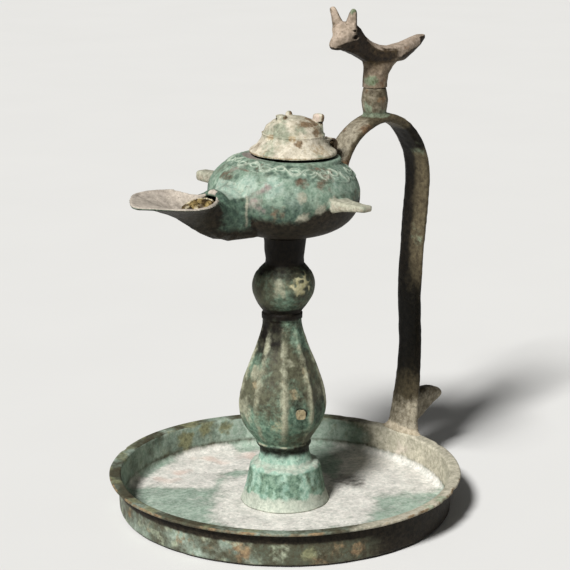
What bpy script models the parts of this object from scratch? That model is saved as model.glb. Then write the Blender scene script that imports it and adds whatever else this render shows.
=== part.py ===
"""A bronze oil lamp: a hollow lamp with a hinged lid, on a fluted stem that stands in a round tray.

A flat strap handle runs from the lamp's shoulder, over an arch, down to the tray's rim. A small
long-eared animal stands on the arch. The origin is the centre of the tray's underside, +Z is up,
the nozzle points along -X and the handle stands at +X.
"""

import math

import bmesh
import bpy
import numpy as np
from mathutils import Matrix

MM = 0.001

# Gap left between castings that touch, and the distance under which cut corners are merged.
GAP = 0.3 * MM
MERGE = 0.005 * MM

# Tray.
TRAY_RADIUS = 94.0 * MM
TRAY_HEIGHT = 20.2 * MM
TRAY_BASE_RADIUS = 88.2 * MM
TRAY_FLOOR = 2.8 * MM
TRAY_WALL = 2.2 * MM
FLANGE_WIDTH = 6.4 * MM
FLANGE_THICKNESS = 2.0 * MM
TRAY_SEGMENTS = 56

# Stem: foot, fluted baluster, ball and neck.
RIBS = 9
STEM_SEGMENTS = RIBS * 5
FIRST_RIB = math.radians(28.6)
RIB_HEIGHT = 0.7 * MM
RIB_WIDTH = 1.2 * MM
PANEL_HOLLOW = 0.9 * MM
FLUTE_SPAN = (36.4 * MM, 101.5 * MM)
STEM_SWAY = 1.5 * MM
SWAY_SPAN = (26.0 * MM, 44.0 * MM)
SWAY_RETURN = (100.0 * MM, 146.0 * MM)
NECK_TOP = 152.0 * MM

# The lamp sits a little crooked on the stem: its nozzle and its left lug stand high.
LAMP_BASE = 148.0 * MM
LEAN_X = math.radians(1.1)
LEAN_Y = math.radians(1.1)

# Lamp body, in its own leaning frame, whose origin is where the globe meets the neck.
GLOBE_CENTRE = (-0.9 * MM, 0.9 * MM)
GLOBE_RADIUS = 39.4 * MM
GLOBE_WAIST = 22.0 * MM
GLOBE_DROP = 22.5 * MM
GLOBE_RISE = 22.2 * MM
LOWER_POWER = 2.4
UPPER_POWER = 2.1
BODY_WALL = 2.3 * MM
BODY_SEGMENTS = 38
MOUTH_OFFSET = 4.0 * MM
SEAT_RADIUS = 25.0 * MM
SEAT_TOP = 40.6 * MM
MOUTH_RADIUS = 20.0 * MM

# Nozzle: a round tube that opens into a broad pointed scoop.
NOZZLE_TILT = math.radians(1.1)
TUBE_RADIUS = 12.6 * MM
TUBE_AXIS = 15.0 * MM
TUBE_WALL = 2.3 * MM
COLLAR_END = -42.5 * MM
COLLAR_RADIUS = 13.7 * MM
SCOOP_BACK = -51.5 * MM
RIM_Z_BACK = 27.6 * MM
RIM_Z_TIP = 25.3 * MM
NOZZLE_TIP = -100.4 * MM

# Side lugs, flat tongues with two grooves along them.
LUG_ROOT = 33.0 * MM
RIGHT_LUG_TIP = 58.6 * MM
LEFT_LUG_TIP = 67.2 * MM
RIGHT_LUG_Z = (21.2 * MM, 23.1 * MM)
LEFT_LUG_Z = (20.9 * MM, 19.9 * MM)
LUG_GROOVE = 0.7 * MM

# Hinge.
HINGE_X = 30.2 * MM
HINGE_Z = 44.4 * MM
EAR_RADIUS = 2.9 * MM
TONGUE_HALF_WIDTH = 1.6 * MM
EAR_OUTSIDE = 3.6 * MM
PIN_RADIUS = 0.9 * MM
PIN_HEAD_RADIUS = 1.6 * MM
PIN_HEAD = 0.7 * MM

# Lid.
LID_RADIUS = 22.5 * MM
LID_RIM_Z = 41.8 * MM
LID_SEGMENTS = 30
LID_STUBS = {
    # name: (angle about the lid's axis in degrees, radius, foot z, height, half width, half depth)
    "front": (168.0, 7.7 * MM, 57.0 * MM, 6.4 * MM, 2.5 * MM, 2.2 * MM),
    "back": (70.0, 6.5 * MM, 58.0 * MM, 5.2 * MM, 1.9 * MM, 1.5 * MM),
    "right": (-43.0, 12.6 * MM, 52.5 * MM, 10.6 * MM, 2.2 * MM, 2.6 * MM),
}

# Handle: the strap's centre line in the XZ plane, from the lamp's shoulder to the tray's rim.
STRAP_LINE = [
    (36.0, 172.0), (38.6, 181.4), (43.8, 189.6), (51.0, 195.4), (59.4, 199.2), (68.2, 201.0),
    (77.6, 199.0), (85.8, 194.6), (92.4, 187.4), (97.0, 179.4), (99.6, 170.6), (100.1, 161.0),
    (98.8, 147.0), (96.4, 122.0), (95.2, 98.0), (96.3, 72.0),
    (95.8, 54.0), (94.6, 44.0), (93.2, 34.0), (92.2, 26.0), (91.6, 20.5),
]
STRAP_SIDES = 10
SPUR_TIP = 121.0 * MM
SPUR_HALF_WIDTH = 3.2 * MM
BULB_X = 65.5 * MM

# Animal finial.
POST_SIDES = 12
ANIMAL_SIDES = 12


def smooth_line(points, per_span):
    """A Catmull-Rom curve through the points, with per_span steps between each two."""
    pts = np.array(points, dtype=float)
    pts = np.vstack([2 * pts[0] - pts[1], pts, 2 * pts[-1] - pts[-2]])
    line = []
    for i in range(1, len(pts) - 2):
        p0, p1, p2, p3 = pts[i - 1:i + 3]
        for step in range(per_span):
            t = step / per_span
            line.append(0.5 * (2 * p1 + (p2 - p0) * t + (2 * p0 - 5 * p1 + 4 * p2 - p3) * t ** 2
                               + (3 * p1 - p0 - 3 * p2 + p3) * t ** 3))
    line.append(pts[-2])
    return np.array(line)


def ease(value, low, high):
    """0 below low, 1 above high, and a smooth rise between."""
    t = min(max((value - low) / (high - low), 0.0), 1.0)
    return t * t * (3.0 - 2.0 * t)


def closed_mesh(name, verts, faces):
    """A mesh from vertices and faces, with its faces turned outward."""
    mesh = bpy.data.meshes.new(name)
    mesh.from_pydata([tuple(v) for v in verts], [], faces)
    shape = bmesh.new()
    shape.from_mesh(mesh)
    bmesh.ops.recalc_face_normals(shape, faces=shape.faces)
    shape.to_mesh(mesh)
    shape.free()
    return mesh


def lathe(name, profile, segments, form=None):
    """A body turned about Z. The profile runs from the axis, round the outside, back to the axis."""
    verts = []
    rings = []
    for radius, z in profile:
        if radius < 1e-6:
            rings.append([len(verts)])
            verts.append((0.0, 0.0, z) if form is None else form(0.0, z, 0.0))
            continue
        ring = []
        for k in range(segments):
            angle = 2.0 * math.pi * k / segments
            ring.append(len(verts))
            if form is None:
                verts.append((radius * math.cos(angle), radius * math.sin(angle), z))
            else:
                verts.append(form(radius, z, angle))
        rings.append(ring)
    faces = []
    for low, high in zip(rings[:-1], rings[1:]):
        for k in range(segments):
            n = (k + 1) % segments
            if len(low) == 1:
                faces.append((low[0], high[n], high[k]))
            elif len(high) == 1:
                faces.append((low[k], low[n], high[0]))
            else:
                faces.append((low[k], low[n], high[n], high[k]))
    return closed_mesh(name, verts, faces)


def loft(name, rings):
    """A body skinned over rings that all have the same number of points, with flat ends."""
    verts = [point for ring in rings for point in ring]
    count = len(rings[0])
    faces = []
    for i in range(len(rings) - 1):
        for k in range(count):
            n = (k + 1) % count
            faces.append((i * count + k, i * count + n, (i + 1) * count + n, (i + 1) * count + k))
    last = (len(rings) - 1) * count
    faces.append(tuple(range(count))[::-1])
    faces.append(tuple(range(last, last + count)))
    return closed_mesh(name, verts, faces)


def oval(sides, half_width, half_height, power=2.0):
    """Points of a rounded outline; a power over 2 squares it off."""
    points = []
    for k in range(sides):
        angle = 2.0 * math.pi * (k + 0.5) / sides
        c = math.cos(angle)
        s = math.sin(angle)
        points.append((half_width * math.copysign(abs(c) ** (2.0 / power), c),
                       half_height * math.copysign(abs(s) ** (2.0 / power), s)))
    return points


def rod(name, radius, start, end, sides=16):
    """A round rod along Y."""
    rings = []
    for y in (start, end):
        ring = []
        for k in range(sides):
            angle = 2.0 * math.pi * k / sides
            ring.append((radius * math.cos(angle), y, radius * math.sin(angle)))
        rings.append(ring)
    return loft(name, rings)


def moved(mesh, matrix):
    mesh.transform(matrix)
    return mesh


def material(name, colour, roughness, metallic):
    made = bpy.data.materials.new(name)
    made.use_nodes = True
    shader = made.node_tree.nodes["Principled BSDF"]
    shader.inputs["Base Color"].default_value = (*colour, 1.0)
    shader.inputs["Roughness"].default_value = roughness
    shader.inputs["Metallic"].default_value = metallic
    return made


def piece(name, mesh, finish, joined=(), cut=(), parent=None):
    """One casting: a base mesh with others joined to it and others cut out of it."""
    body = bpy.data.objects.new(name, mesh)
    bpy.context.collection.objects.link(body)
    helpers = []
    for operation, meshes in (("UNION", joined), ("DIFFERENCE", cut)):
        for other in meshes:
            helper = bpy.data.objects.new(other.name, other)
            bpy.context.collection.objects.link(helper)
            modifier = body.modifiers.new(other.name, "BOOLEAN")
            modifier.operation = operation
            modifier.solver = "EXACT"
            modifier.object = helper
            helpers.append(helper)
    if helpers:
        graph = bpy.context.evaluated_depsgraph_get()
        finished = bpy.data.meshes.new_from_object(body.evaluated_get(graph))
        body.modifiers.clear()
        body.data = finished
        finished.name = name
        shape = bmesh.new()
        shape.from_mesh(finished)
        bmesh.ops.remove_doubles(shape, verts=shape.verts, dist=MERGE)
        bmesh.ops.dissolve_degenerate(shape, edges=shape.edges, dist=MERGE)
        shape.to_mesh(finished)
        shape.free()
        for helper in helpers:
            bpy.data.objects.remove(helper)
    body.data.materials.clear()
    body.data.materials.append(finish)
    body.data.shade_smooth()
    body.data.set_sharp_from_angle(angle=math.radians(38.0))
    body.parent = parent
    return body


def tray_mesh():
    """Flat floor, wall that leans out a little, and a flat flange turned out at the top."""
    wall_top = TRAY_RADIUS - FLANGE_WIDTH + 1.2 * MM
    inner_top = TRAY_RADIUS - FLANGE_WIDTH
    under = TRAY_HEIGHT - FLANGE_THICKNESS
    profile = [
        (0.0, 0.0),
        (TRAY_BASE_RADIUS - 1.6 * MM, 0.0),
        (TRAY_BASE_RADIUS, 1.4 * MM),
        (wall_top, under),
        (TRAY_RADIUS - 0.4 * MM, under + 0.1 * MM),
        (TRAY_RADIUS, under + 1.0 * MM),
        (TRAY_RADIUS - 0.6 * MM, TRAY_HEIGHT),
        (inner_top, TRAY_HEIGHT - 0.3 * MM),
        (TRAY_BASE_RADIUS - TRAY_WALL, TRAY_FLOOR + 1.5 * MM),
        (TRAY_BASE_RADIUS - TRAY_WALL - 2.2 * MM, TRAY_FLOOR),
        (0.0, TRAY_FLOOR),
    ]
    return lathe("tray", profile, TRAY_SEGMENTS)


def stem_profile():
    """Outline of the stem as (radius, z), from the foot's underside to the top of the neck."""
    foot_z = TRAY_FLOOR + GAP
    foot = [(23.8, foot_z / MM), (22.3, 6.5), (20.6, 12.5), (18.7, 22.4)]
    ledge = [(17.6, 24.0), (14.9, 24.6)]
    hollow = [(13.4, 28.0), (13.0, 32.2), (14.3, 34.4), (14.5, 35.6), (14.0, 36.4)]
    pear = [(17.2, 40.6), (21.0, 46.6), (23.1, 53.0), (23.3, 60.0), (21.4, 69.4), (17.6, 80.2),
            (13.8, 89.0), (11.2, 97.0), (10.0, 102.6)]
    band = [(10.6, 103.4), (10.6, 106.0), (9.9, 107.0)]
    ball = [(13.3, 111.8), (15.7, 116.4), (16.3, 121.4), (14.9, 127.0), (10.2, 132.6)]
    neck = [(10.0, 135.2), (10.8, 143.5), (11.4, NECK_TOP / MM)]
    points = [(0.0, foot_z / MM)] + foot + ledge + hollow + pear + band + ball + neck
    return [(r * MM, z * MM) for r, z in points] + [(0.0, NECK_TOP)]


def fluted(radius, z, angle):
    """A point of the stem: ribs stand between hollow panels, and the shaft is a little off centre."""
    start, end = FLUTE_SPAN
    if start < z < end:
        pitch = 2.0 * math.pi / RIBS
        off_rib = abs((angle + pitch / 2.0) % pitch - pitch / 2.0)
        depth = RIB_HEIGHT * (1.0 - math.exp(-(off_rib * radius / RIB_WIDTH) ** 2))
        depth += PANEL_HOLLOW * math.sin(math.pi * off_rib / pitch) * radius / (23.0 * MM)
        radius -= depth * math.sin(math.pi * (z - start) / (end - start)) ** 0.4
    angle += FIRST_RIB
    sway = STEM_SWAY * ease(z, *SWAY_SPAN) * (1.0 - ease(z, *SWAY_RETURN))
    return (radius * math.cos(angle) - 0.7 * sway, radius * math.sin(angle) + 0.7 * sway, z)


def globe_profile(grow, steps):
    """Outline of the globe, grown outward by grow, from its lowest to its highest point."""
    radius = GLOBE_RADIUS + grow
    points = []
    for k in range(steps + 1):
        angle = math.pi * (k / steps - 0.5)
        power = LOWER_POWER if angle < 0.0 else UPPER_POWER
        rise = (GLOBE_DROP if angle < 0.0 else GLOBE_RISE) + grow
        points.append((radius * math.cos(angle) ** (2.0 / power) if 0 < k < steps else 0.0,
                       GLOBE_WAIST + rise * math.copysign(abs(math.sin(angle)) ** (2.0 / power), angle)))
    return points


def nozzle_ring(x, half_width, top, keel, flare, count=16):
    """One cross-section of the nozzle: a flat or round top over a round or hollow-flanked keel."""
    ring = []
    half = count // 2
    for k in range(half + 1):
        y = math.cos(math.pi * k / half)
        round_depth = math.sqrt(max(1.0 - y * y, 0.0))
        flared_depth = (1.0 - abs(y) ** 1.5) ** 1.15
        depth = (1.0 - flare) * round_depth + flare * flared_depth
        edge = (1.0 - flare) * 0.5 * (top + keel) + flare * (top - 1.2 * MM)
        ring.append((x, half_width * y, edge - (edge - keel) * depth))
    for k in range(1, half):
        y = -math.cos(math.pi * k / half)
        round_rise = math.sqrt(max(1.0 - y * y, 0.0))
        edge = (1.0 - flare) * 0.5 * (top + keel) + flare * top
        rise = (1.0 - flare) * round_rise * (top - edge)
        ring.append((x, half_width * y, edge + rise))
    return ring


def rim_height(x):
    along = (x - SCOOP_BACK) / (NOZZLE_TIP - SCOOP_BACK)
    return RIM_Z_BACK + (RIM_Z_TIP - RIM_Z_BACK) * along


NOZZLE_STATIONS = [
    # x, half width, keel z, flare: 0 round tube, 1 open scoop; opening's half width; all lengths in mm
    (-49.5, 12.7, 3.1, 0.0, 0.0), (-53.5, 12.9, 4.5, 0.4, 6.0), (-58.0, 14.2, 6.6, 0.8, 11.0),
    (-63.0, 18.6, 9.4, 1.0, 15.8), (-68.0, 22.0, 12.6, 1.0, 19.7), (-74.0, 24.6, 16.2, 1.0, 22.5),
    (-80.0, 24.6, 18.8, 1.0, 22.6), (-85.5, 21.4, 20.6, 1.0, 19.4), (-90.5, 16.2, 22.2, 1.0, 14.2),
    (-94.8, 11.0, 22.8, 1.0, 8.6), (-98.4, 6.0, 23.1, 1.0, 2.6),
]


def nozzle_mesh():
    """The outside of the nozzle, solid, from inside the globe to the tip."""
    rings = []
    for x in (-24.0, COLLAR_END / MM):
        rings.append(nozzle_ring(x * MM, TUBE_RADIUS, TUBE_AXIS + TUBE_RADIUS, TUBE_AXIS - TUBE_RADIUS, 0.0))
    rings.append(nozzle_ring(-46.5 * MM, TUBE_RADIUS, 27.4 * MM, 2.5 * MM, 0.0))
    for x, half_width, keel, flare, _ in NOZZLE_STATIONS:
        top = rim_height(x * MM)
        if x > -57.0:
            top += 1.0 * MM
        rings.append(nozzle_ring(x * MM, half_width * MM, top, keel * MM, flare))
    rings.append(nozzle_ring(NOZZLE_TIP, 2.0 * MM, RIM_Z_TIP - 0.2 * MM, 24.0 * MM, 1.0))
    return moved(loft("nozzle", rings), Matrix.Rotation(NOZZLE_TILT, 4, "Y"))


def scoop_cutter():
    """The open hollow of the scoop, one wall inside the nozzle's outside."""
    rings = []
    for x, _, keel, _, opening in NOZZLE_STATIONS[1:]:
        top = rim_height(x * MM)
        bottom = min(keel * MM + 1.15 * TUBE_WALL, top - 1.4 * MM)
        ring = nozzle_ring(x * MM, opening * MM, top, bottom, 1.0)
        half = len(ring) // 2
        rings.append(ring[:half + 1] + [(px, y, top + 6.0 * MM) for px, y, z in ring[half + 1:]])
    rings.insert(0, [(SCOOP_BACK, 0.6 * y, z) for _, y, z in rings[0]])
    return moved(loft("scoop", rings), Matrix.Rotation(NOZZLE_TILT, 4, "Y"))


def channel_cutter():
    """The oil channel from the globe's hollow to the scoop."""
    rings = []
    for x, rise, radius in ((-28.0, 0.0, 10.3), (-44.0, 0.0, 10.3), (-49.0, 0.5, 9.8), (-54.0, 1.6, 8.0),
                            (-60.0, 2.8, 5.6)):
        rings.append([(x * MM, y, TUBE_AXIS + rise * MM + z) for y, z in oval(16, radius * MM, radius * MM)])
    return moved(loft("channel", rings), Matrix.Rotation(NOZZLE_TILT, 4, "Y"))


def collar_mesh():
    """The nozzle's root: it flows out of the globe and ends in a step round the tube."""
    rings = []
    for x, radius in ((-22.0, 17.6), (-28.0, 16.2), (-34.0, 14.9), (-39.0, 14.0), (COLLAR_END / MM, 13.7)):
        lift = 0.9 * (radius * MM - COLLAR_RADIUS)
        rings.append([(x * MM, y, TUBE_AXIS + lift + z) for y, z in oval(20, radius * MM, radius * MM)])
    return moved(loft("collar", rings), Matrix.Rotation(NOZZLE_TILT, 4, "Y"))


def lug_mesh(name, side, tip, heights, thicker):
    """A side lug: a tapering tongue whose top carries two grooves."""
    root_z, tip_z = heights
    rings = []
    for along, half_width, half_thick in ((0.0, 9.0, 4.2), (0.18, 7.4, 3.5), (0.42, 5.4, 2.5),
                                          (0.7, 4.2, 2.0), (0.97, 3.4, 1.75), (1.0, 3.1, 1.4)):
        y = side * (LUG_ROOT + (tip - LUG_ROOT) * along)
        z = root_z + (tip_z - root_z) * along
        groove = LUG_GROOVE * ease(along, 0.2, 0.6)
        w = half_width * MM
        t = half_thick * MM * (1.0 + thicker * ease(along, 0.0, 0.7))
        outline = [(-w, -0.5 * t), (-0.8 * w, -t), (0.8 * w, -t), (w, -0.5 * t), (w, 0.6 * t), (0.8 * w, t),
                   (0.45 * w, t), (0.33 * w, t - groove), (0.21 * w, t), (-0.21 * w, t),
                   (-0.33 * w, t - groove), (-0.45 * w, t), (-0.8 * w, t), (-w, 0.6 * t)]
        rings.append([(x, y, z + dz) for x, dz in outline])
    return loft(name, rings)


def ear_mesh(name, low_y, high_y, foot_z):
    """A hinge ear: a plate across Y with a round head about the pin's axis."""
    outline = [(HINGE_X - EAR_RADIUS, foot_z)]
    for k in range(7):
        angle = math.pi * (1.0 - k / 6.0)
        outline.append((HINGE_X + EAR_RADIUS * math.cos(angle), HINGE_Z + EAR_RADIUS * math.sin(angle)))
    outline.append((HINGE_X + EAR_RADIUS, foot_z))
    return loft(name, [[(x, y, z) for x, z in outline] for y in (low_y, high_y)])


def pin_hole(name, reach):
    return moved(rod(name, PIN_RADIUS + GAP, -reach, reach), Matrix.Translation((HINGE_X, 0.0, HINGE_Z)))


def stub_mesh(name, angle, radius, foot, height, half_width, half_thick):
    """A worn ear-shaped stub that stands on the lid."""
    rings = []
    for along, share in ((0.0, 1.15), (0.35, 0.95), (0.7, 0.85), (0.9, 0.6), (1.0, 0.25)):
        ring = []
        for t, r in oval(8, half_width * share, half_thick * share):
            ring.append((radius + r, t, foot + height * along))
        rings.append(ring)
    spin = Matrix.Rotation(math.radians(angle), 4, "Z")
    return moved(loft(name, rings), Matrix.Translation((MOUTH_OFFSET, 0.0, 0.0)) @ spin)


def lid_mesh():
    """Rim, hollow-curved flare, thin ridge and dome, with a hollow underside of even wall."""
    z0 = LID_RIM_Z / MM
    flare = smooth_line([(22.0, z0 + 1.9), (19.2, z0 + 3.6), (17.0, z0 + 6.6), (15.9, z0 + 9.6)], 1)
    dome = smooth_line([(15.2, z0 + 10.9), (14.0, z0 + 14.0), (10.6, z0 + 16.9), (5.6, z0 + 18.6),
                        (0.0, z0 + 19.2)], 1)
    outside = [(LID_RADIUS / MM - 0.2, z0), (LID_RADIUS / MM, z0 + 1.0)] + [tuple(p) for p in flare]
    outside += [(16.3, z0 + 10.2)] + [tuple(p) for p in dome]
    inside = [(0.0, z0 + 17.2), (6.0, z0 + 16.4), (10.0, z0 + 14.4), (12.9, z0 + 11.2), (14.2, z0 + 8.4),
              (16.2, z0 + 4.6), (20.0, z0 + 1.4), (20.2, z0)]
    profile = [(r * MM, z * MM) for r, z in inside] + [(r * MM, z * MM) for r, z in outside]
    mesh = lathe("lid", profile, LID_SEGMENTS)
    return moved(mesh, Matrix.Translation((MOUTH_OFFSET, 0.0, 0.0)))


def tongue_mesh():
    """The lid's hinge tongue: a bar from the lid's flare to a round knuckle about the pin's axis."""
    outline = [(25.2 * MM, HINGE_Z - 1.6 * MM)]
    for k in range(8):
        angle = math.radians(-110.0 + 220.0 * k / 7.0)
        outline.append((HINGE_X + EAR_RADIUS * math.cos(angle), HINGE_Z + EAR_RADIUS * math.sin(angle)))
    outline.append((21.6 * MM, HINGE_Z + 1.8 * MM))
    return loft("tongue", [[(x, y, z) for x, z in outline]
                           for y in (-TONGUE_HALF_WIDTH, TONGUE_HALF_WIDTH)])


def strap_mesh():
    """The strap: a flat rounded section swept along its centre line, widest at the foot."""
    line = smooth_line([(x * MM, z * MM) for x, z in STRAP_LINE], 2)
    steps = np.linalg.norm(np.diff(line, axis=0), axis=1)
    run = np.concatenate([[0.0], np.cumsum(steps)]) / steps.sum()
    half_width = np.interp(run, [0.0, 0.12, 0.3, 0.5, 0.7, 0.84, 0.92, 0.97, 1.0],
                           np.array([7.4, 7.4, 8.2, 8.8, 8.3, 8.4, 9.3, 10.0, 11.0]) * MM)
    half_thick = np.interp(run, [0.0, 0.08, 0.2, 0.3, 0.45, 0.6, 0.84, 0.92, 0.97, 1.0],
                           np.array([2.5, 2.7, 2.6, 2.6, 2.4, 1.8, 1.8, 2.0, 2.4, 3.4]) * MM)
    rings = []
    for i, (x, z) in enumerate(line):
        before = line[max(i - 1, 0)]
        after = line[min(i + 1, len(line) - 1)]
        along = (after - before) / np.linalg.norm(after - before)
        normal = np.array([along[1], -along[0]])
        ring = []
        for y, n in oval(STRAP_SIDES, half_width[i], half_thick[i], 3.2):
            ring.append((x + normal[0] * n, y, z + normal[1] * n))
        rings.append(ring)
    return loft("strap", rings)


def spur_mesh():
    """The blunt spur outside the handle's foot, with the web under it."""
    outline = smooth_line([(94.6, 41.4), (104.0, 41.8), (113.0, 41.0), (119.0, 39.0), (SPUR_TIP / MM, 36.2),
                           (119.0, 33.6), (113.5, 31.4), (108.0, 27.6), (103.0, 24.4), (94.0, 22.0)], 2)
    rings = []
    for y, shrink in ((-1.0, 0.8), (-0.7, 1.0), (0.7, 1.0), (1.0, 0.8)):
        middle = np.array([106.0, 34.0])
        ring = [middle + (p - middle) * np.array([1.0 - 0.12 * (1.0 - shrink), shrink]) for p in outline]
        rings.append([(x * MM, y * SPUR_HALF_WIDTH, z * MM) for x, z in ring])
    return loft("spur", rings)


def bulb_mesh():
    """The bulb on the arch that carries the finial."""
    rings = []
    for z, radius in ((200.5, 6.2), (204.2, 6.5), (207.4, 7.2), (210.6, 7.6), (214.0, 7.1), (217.2, 6.4)):
        ring = []
        for x, y in oval(POST_SIDES, radius * MM, radius * MM * 0.94):
            ring.append((BULB_X + x, y, z * MM))
        rings.append(ring)
    return loft("bulb", rings)


def post_mesh():
    """The post under the animal, which spreads upward and back into its belly."""
    rings = []
    for z, x, half_x, half_y in ((217.5, 65.4, 6.4, 6.2), (219.5, 65.4, 6.3, 6.1), (224.0, 66.0, 6.8, 6.0),
                                 (228.0, 68.0, 9.0, 6.0), (231.0, 70.0, 12.6, 5.8), (233.5, 71.0, 13.6, 5.2)):
        ring = []
        for px, py in oval(POST_SIDES, half_x * MM, half_y * MM, 2.4):
            ring.append((x * MM + px, py, z * MM))
        rings.append(ring)
    return loft("post", rings)


ANIMAL_STATIONS = [
    # x, lowest z, highest z, half width, all in mm: tail, back, neck, head and snout
    (102.8, 239.8, 242.2, 1.6), (98.4, 236.4, 242.4, 2.8), (92.0, 232.8, 241.0, 4.0),
    (85.0, 229.6, 239.2, 5.0), (76.0, 229.4, 238.3, 5.8), (68.0, 229.2, 239.4, 6.2),
    (62.0, 229.8, 241.4, 6.2), (57.6, 231.4, 243.6, 6.0), (53.6, 233.4, 246.8, 6.0),
    (49.6, 235.4, 251.4, 6.5), (45.6, 237.2, 253.6, 7.2), (42.0, 238.4, 253.8, 7.4),
    (39.0, 239.2, 252.6, 6.8), (36.4, 239.2, 249.8, 5.2), (34.2, 239.6, 247.2, 3.6),
    (33.0, 241.2, 245.2, 2.0),
]


def animal_mesh():
    """Tail, flat back, thick neck and broad head as one body, skinned over upright rings."""
    rings = []
    for x, low, high, half_width in ANIMAL_STATIONS:
        middle = 0.5 * (low + high)
        ring = []
        for y, z in oval(ANIMAL_SIDES, half_width, 0.5 * (high - low), 2.8):
            ring.append((x * MM, y * MM, (middle + z) * MM))
        rings.append(ring)
    return loft("animal", rings)


def animal_ear(name, side):
    """One upright rounded ear, leaning outward and a little forward."""
    shares = ((0.0, 2.6, 3.2), (0.35, 2.2, 3.0), (0.7, 1.8, 2.5), (0.92, 1.2, 1.5), (1.0, 0.6, 0.8))
    rings = []
    for along, half_x, half_y in shares:
        x = 42.6 - 1.4 * along
        y = side * (5.0 + 2.4 * along)
        z = 250.0 + 11.8 * along
        ring = []
        for px, py in oval(8, half_x, half_y):
            ring.append(((x + px) * MM, (y + py) * MM, z * MM))
        rings.append(ring)
    return loft(name, rings)


def seat_mesh():
    """The flat ring that the lid rests over."""
    top = SEAT_TOP + 1.0 * MM
    profile = [(0.0, 30.0 * MM), (SEAT_RADIUS - 1.0 * MM, 30.0 * MM), (SEAT_RADIUS, SEAT_TOP - 1.2 * MM),
               (SEAT_RADIUS - 0.8 * MM, top), (0.0, top)]
    return moved(lathe("seat", profile, 36), Matrix.Translation((MOUTH_OFFSET, 0.0, 0.0)))


def mouth_cutter():
    """The filling hole, and the flat cut over it that levels the seat."""
    above = SEAT_TOP + 7.0 * MM
    level = SEAT_RADIUS + 0.6 * MM
    profile = [(0.0, 28.0 * MM), (MOUTH_RADIUS, 28.0 * MM), (MOUTH_RADIUS, SEAT_TOP), (level, SEAT_TOP),
               (level, above), (0.0, above)]
    return moved(lathe("mouth", profile, 36), Matrix.Translation((MOUTH_OFFSET, 0.0, 0.0)))


def build():
    for thing in list(bpy.data.objects):
        bpy.data.objects.remove(thing)

    green = material("green patinated bronze", (0.16, 0.30, 0.24), 0.7, 0.2)
    dark = material("dark bronze", (0.06, 0.055, 0.045), 0.55, 0.5)
    teal = material("teal patinated bronze", (0.20, 0.36, 0.30), 0.7, 0.2)
    buff = material("buff crusted bronze", (0.38, 0.34, 0.26), 0.8, 0.1)

    piece("tray", tray_mesh(), green)

    lean = bpy.data.objects.new("lamp_seat", None)
    bpy.context.collection.objects.link(lean)
    lean.location = (0.0, 0.0, LAMP_BASE)
    lean.rotation_euler = (LEAN_X, LEAN_Y, 0.0)
    bpy.context.view_layer.update()
    leaning = lean.matrix_world.copy()

    centred = Matrix.Translation((*GLOBE_CENTRE, 0.0))
    envelope = moved(lathe("envelope", globe_profile(GAP, 13), BODY_SEGMENTS), leaning @ centred)
    stem = lathe("stem", stem_profile(), STEM_SEGMENTS, fluted)
    piece("stem", stem, dark, cut=[envelope])

    joined = [
        collar_mesh(), nozzle_mesh(), seat_mesh(),
        lug_mesh("right lug", -1.0, RIGHT_LUG_TIP, RIGHT_LUG_Z, 0.0),
        lug_mesh("left lug", 1.0, LEFT_LUG_TIP, LEFT_LUG_Z, 0.6),
        ear_mesh("near ear", -EAR_OUTSIDE, -TONGUE_HALF_WIDTH - GAP, 34.0 * MM),
        ear_mesh("far ear", TONGUE_HALF_WIDTH + GAP, EAR_OUTSIDE, 34.0 * MM),
    ]
    hollow = moved(lathe("hollow", globe_profile(-BODY_WALL, 9), 26), centred)
    cut = [hollow, mouth_cutter(), channel_cutter(), scoop_cutter(), pin_hole("body pin hole", 8.0 * MM)]
    globe = moved(lathe("globe", globe_profile(0.0, 13), BODY_SEGMENTS), centred)
    piece("lamp_body", globe, teal, joined=joined, cut=cut, parent=lean)

    stubs = [stub_mesh(name + " stub", *sizes) for name, sizes in LID_STUBS.items()]
    lid = piece("lid", lid_mesh(), buff, joined=[tongue_mesh()] + stubs,
                cut=[pin_hole("lid pin hole", 4.0 * MM)], parent=lean)
    hinge = Matrix.Translation((HINGE_X, 0.0, HINGE_Z))
    lid.data.transform(hinge.inverted())
    lid.matrix_local = hinge

    reach = EAR_OUTSIDE + GAP
    heads = [rod("near head", PIN_HEAD_RADIUS, -reach - PIN_HEAD, -reach, 12),
             rod("far head", PIN_HEAD_RADIUS, reach, reach + PIN_HEAD, 12)]
    shaft = rod("hinge_pin", PIN_RADIUS, -reach - 0.5 * PIN_HEAD, reach + 0.5 * PIN_HEAD, 12)
    pin = piece("hinge_pin", shaft, dark, joined=heads, parent=lean)
    pin.matrix_local = hinge

    piece("handle", strap_mesh(), dark, joined=[spur_mesh(), bulb_mesh()], cut=[envelope])
    piece("finial", animal_mesh(), buff,
          joined=[post_mesh(), animal_ear("left ear", 1.0), animal_ear("right ear", -1.0)])


build()
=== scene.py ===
import itertools
import math

import bmesh
import bpy
import numpy as np
from mathutils import Euler, Matrix, Vector


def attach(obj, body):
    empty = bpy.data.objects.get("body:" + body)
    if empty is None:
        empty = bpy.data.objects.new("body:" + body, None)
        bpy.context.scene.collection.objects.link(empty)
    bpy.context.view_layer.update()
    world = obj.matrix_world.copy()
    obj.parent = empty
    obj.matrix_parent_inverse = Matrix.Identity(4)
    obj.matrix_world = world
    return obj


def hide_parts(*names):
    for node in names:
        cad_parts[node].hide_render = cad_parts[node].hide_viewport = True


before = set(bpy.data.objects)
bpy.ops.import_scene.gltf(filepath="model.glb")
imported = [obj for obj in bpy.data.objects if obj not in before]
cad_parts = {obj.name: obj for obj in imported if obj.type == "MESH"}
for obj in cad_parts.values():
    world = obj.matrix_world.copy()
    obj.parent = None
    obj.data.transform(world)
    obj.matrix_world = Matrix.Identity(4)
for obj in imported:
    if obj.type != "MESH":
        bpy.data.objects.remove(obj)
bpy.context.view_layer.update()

MM = 0.001


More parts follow.
